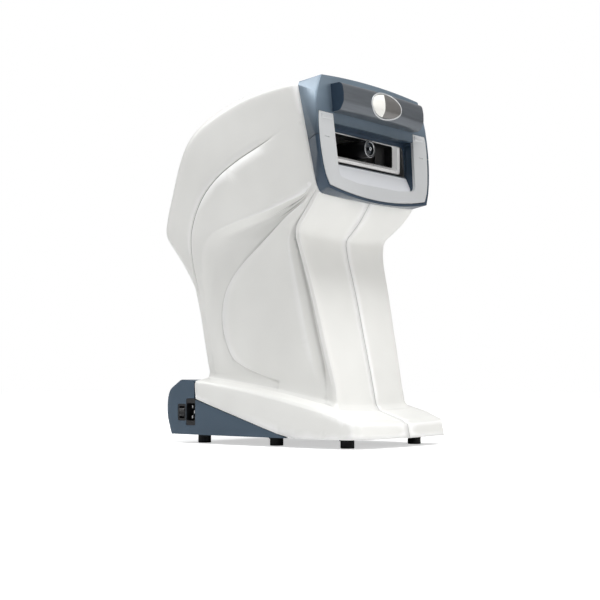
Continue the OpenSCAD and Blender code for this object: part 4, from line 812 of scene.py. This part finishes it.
class TONOMETER_OT_stage(Operator):
    """Camera, floor, lamps and the even light all round"""
    bl_idname = "tonometer.stage"
    bl_label = "Stage"

    def execute(self, context):
        scene = context.scene
        settings = scene.tonometer_stage
        scene.view_settings.view_transform = "Standard"
        add_camera(scene, settings)
        add_lamp("Overhead lamp", KEY_PLACE, LAMP_TARGET, KEY_SIZE, settings.key)
        add_lamp("Front lamp", FILL_PLACE, LAMP_TARGET, FILL_SIZE, settings.fill, FILL_TINT)
        add_lamp("Rear lamp", REAR_PLACE, REAR_TARGET, REAR_SIZE, settings.rear)
        add_world(scene, settings)
        add_floor()
        return {"FINISHED"}


def add_camera(scene, settings):
    data = bpy.data.cameras.new("Camera")
    data.lens = settings.lens
    data.sensor_width = 36
    data.clip_start, data.clip_end = 0.05, 50
    camera = bpy.data.objects.new("Camera", data)
    scene.collection.objects.link(camera)
    camera.location = settings.eye
    camera.rotation_mode = "QUATERNION"
    camera.rotation_quaternion = Vector(settings.look).to_track_quat("-Z", "Y")
    scene.camera = camera


def add_lamp(name, place, target, size, power, tint=(1.0, 1.0, 1.0)):
    data = bpy.data.lights.new(name, "AREA")
    data.shape = "DISK"
    data.size = size
    data.energy = power
    data.color = tint
    lamp = bpy.data.objects.new(name, data)
    bpy.context.scene.collection.objects.link(lamp)
    lamp.location = place
    lamp.rotation_mode = "QUATERNION"
    lamp.rotation_quaternion = (Vector(target) - Vector(place)).to_track_quat("-Z", "Y")


def seen_ray(tree):
    """One for rays that come straight from the camera, and zero for those that light the object."""
    path = tree.nodes.new("ShaderNodeLightPath")
    return path.outputs["Is Camera Ray"]


def add_world(scene, settings):
    world = bpy.data.worlds.new("Studio")
    scene.world = world
    world.use_nodes = True
    tree = world.node_tree
    background = tree.nodes["Background"]
    background.inputs["Color"].default_value = (1, 1, 1, 1)
    place = tree.nodes.new("ShaderNodeTexCoord")
    axes = add(tree, "ShaderNodeSeparateXYZ", [("Vector", place.outputs["Generated"])])
    sky = spread(tree, axes.outputs["Z"], -0.1, 0.9, settings.world * 0.45, settings.world * 1.5)
    tree.links.new(spread(tree, seen_ray(tree), 0.0, 1.0, sky, 1.0), background.inputs["Strength"])


def add_floor():
    shape = bmesh.new()
    bmesh.ops.create_grid(shape, x_segments=1, y_segments=1, size=FLOOR_HALF)
    mesh = bpy.data.meshes.new("Floor")
    shape.to_mesh(mesh)
    shape.free()
    floor = bpy.data.objects.new("Floor", mesh)
    bpy.context.scene.collection.objects.link(floor)
    material, tree, principled, place = new_material("Pale floor", Roughness=0.9, Specular_IOR_Level=0.1)
    speckle = noise(tree, place, 40.0)
    tree.links.new(mixed(tree, speckle, (0.84, 0.84, 0.84, 1.0), (0.86, 0.86, 0.86, 1.0)),
                   principled.inputs["Base Color"])
    principled.inputs["Emission Color"].default_value = (1, 1, 1, 1)
    glow = maths(tree, "MULTIPLY", seen_ray(tree), FLOOR_GLOW)
    tree.links.new(glow, principled.inputs["Emission Strength"])
    mesh.materials.append(material)


class TONOMETER_PT_panel(Panel):
    """Lists the pieces in the 3D view's sidebar"""
    bl_idname = "TONOMETER_PT_panel"
    bl_label = "Tonometer"
    bl_space_type = "VIEW_3D"
    bl_region_type = "UI"
    bl_category = "Tonometer"

    def draw(self, context):
        for operator in OPERATORS:
            self.layout.operator(operator.bl_idname, text=operator.bl_label)


OPERATORS = (
    TONOMETER_OT_stage, TONOMETER_OT_mechanism, TONOMETER_OT_shells, TONOMETER_OT_rear_cover,
    TONOMETER_OT_bezels, TONOMETER_OT_face, TONOMETER_OT_forehead, TONOMETER_OT_nozzle,
    TONOMETER_OT_display, TONOMETER_OT_power, TONOMETER_OT_feet,
)
GROUP_CLASSES = (TonometerColours, TonometerSizes, TonometerStage)


def register():
    for cls in GROUP_CLASSES + OPERATORS + (TONOMETER_PT_panel,):
        bpy.utils.register_class(cls)
    bpy.types.Scene.tonometer_colours = PointerProperty(type=TonometerColours)
    bpy.types.Scene.tonometer_sizes = PointerProperty(type=TonometerSizes)
    bpy.types.Scene.tonometer_stage = PointerProperty(type=TonometerStage)


def unregister():
    for label in ("tonometer_stage", "tonometer_sizes", "tonometer_colours"):
        delattr(bpy.types.Scene, label)
    for cls in reversed(GROUP_CLASSES + OPERATORS + (TONOMETER_PT_panel,)):
        bpy.utils.unregister_class(cls)


def main():
    register()
    for operator in OPERATORS:
        area, name = operator.bl_idname.split(".")
        getattr(getattr(bpy.ops, area), name)()


if __name__ == "__main__":
    main()
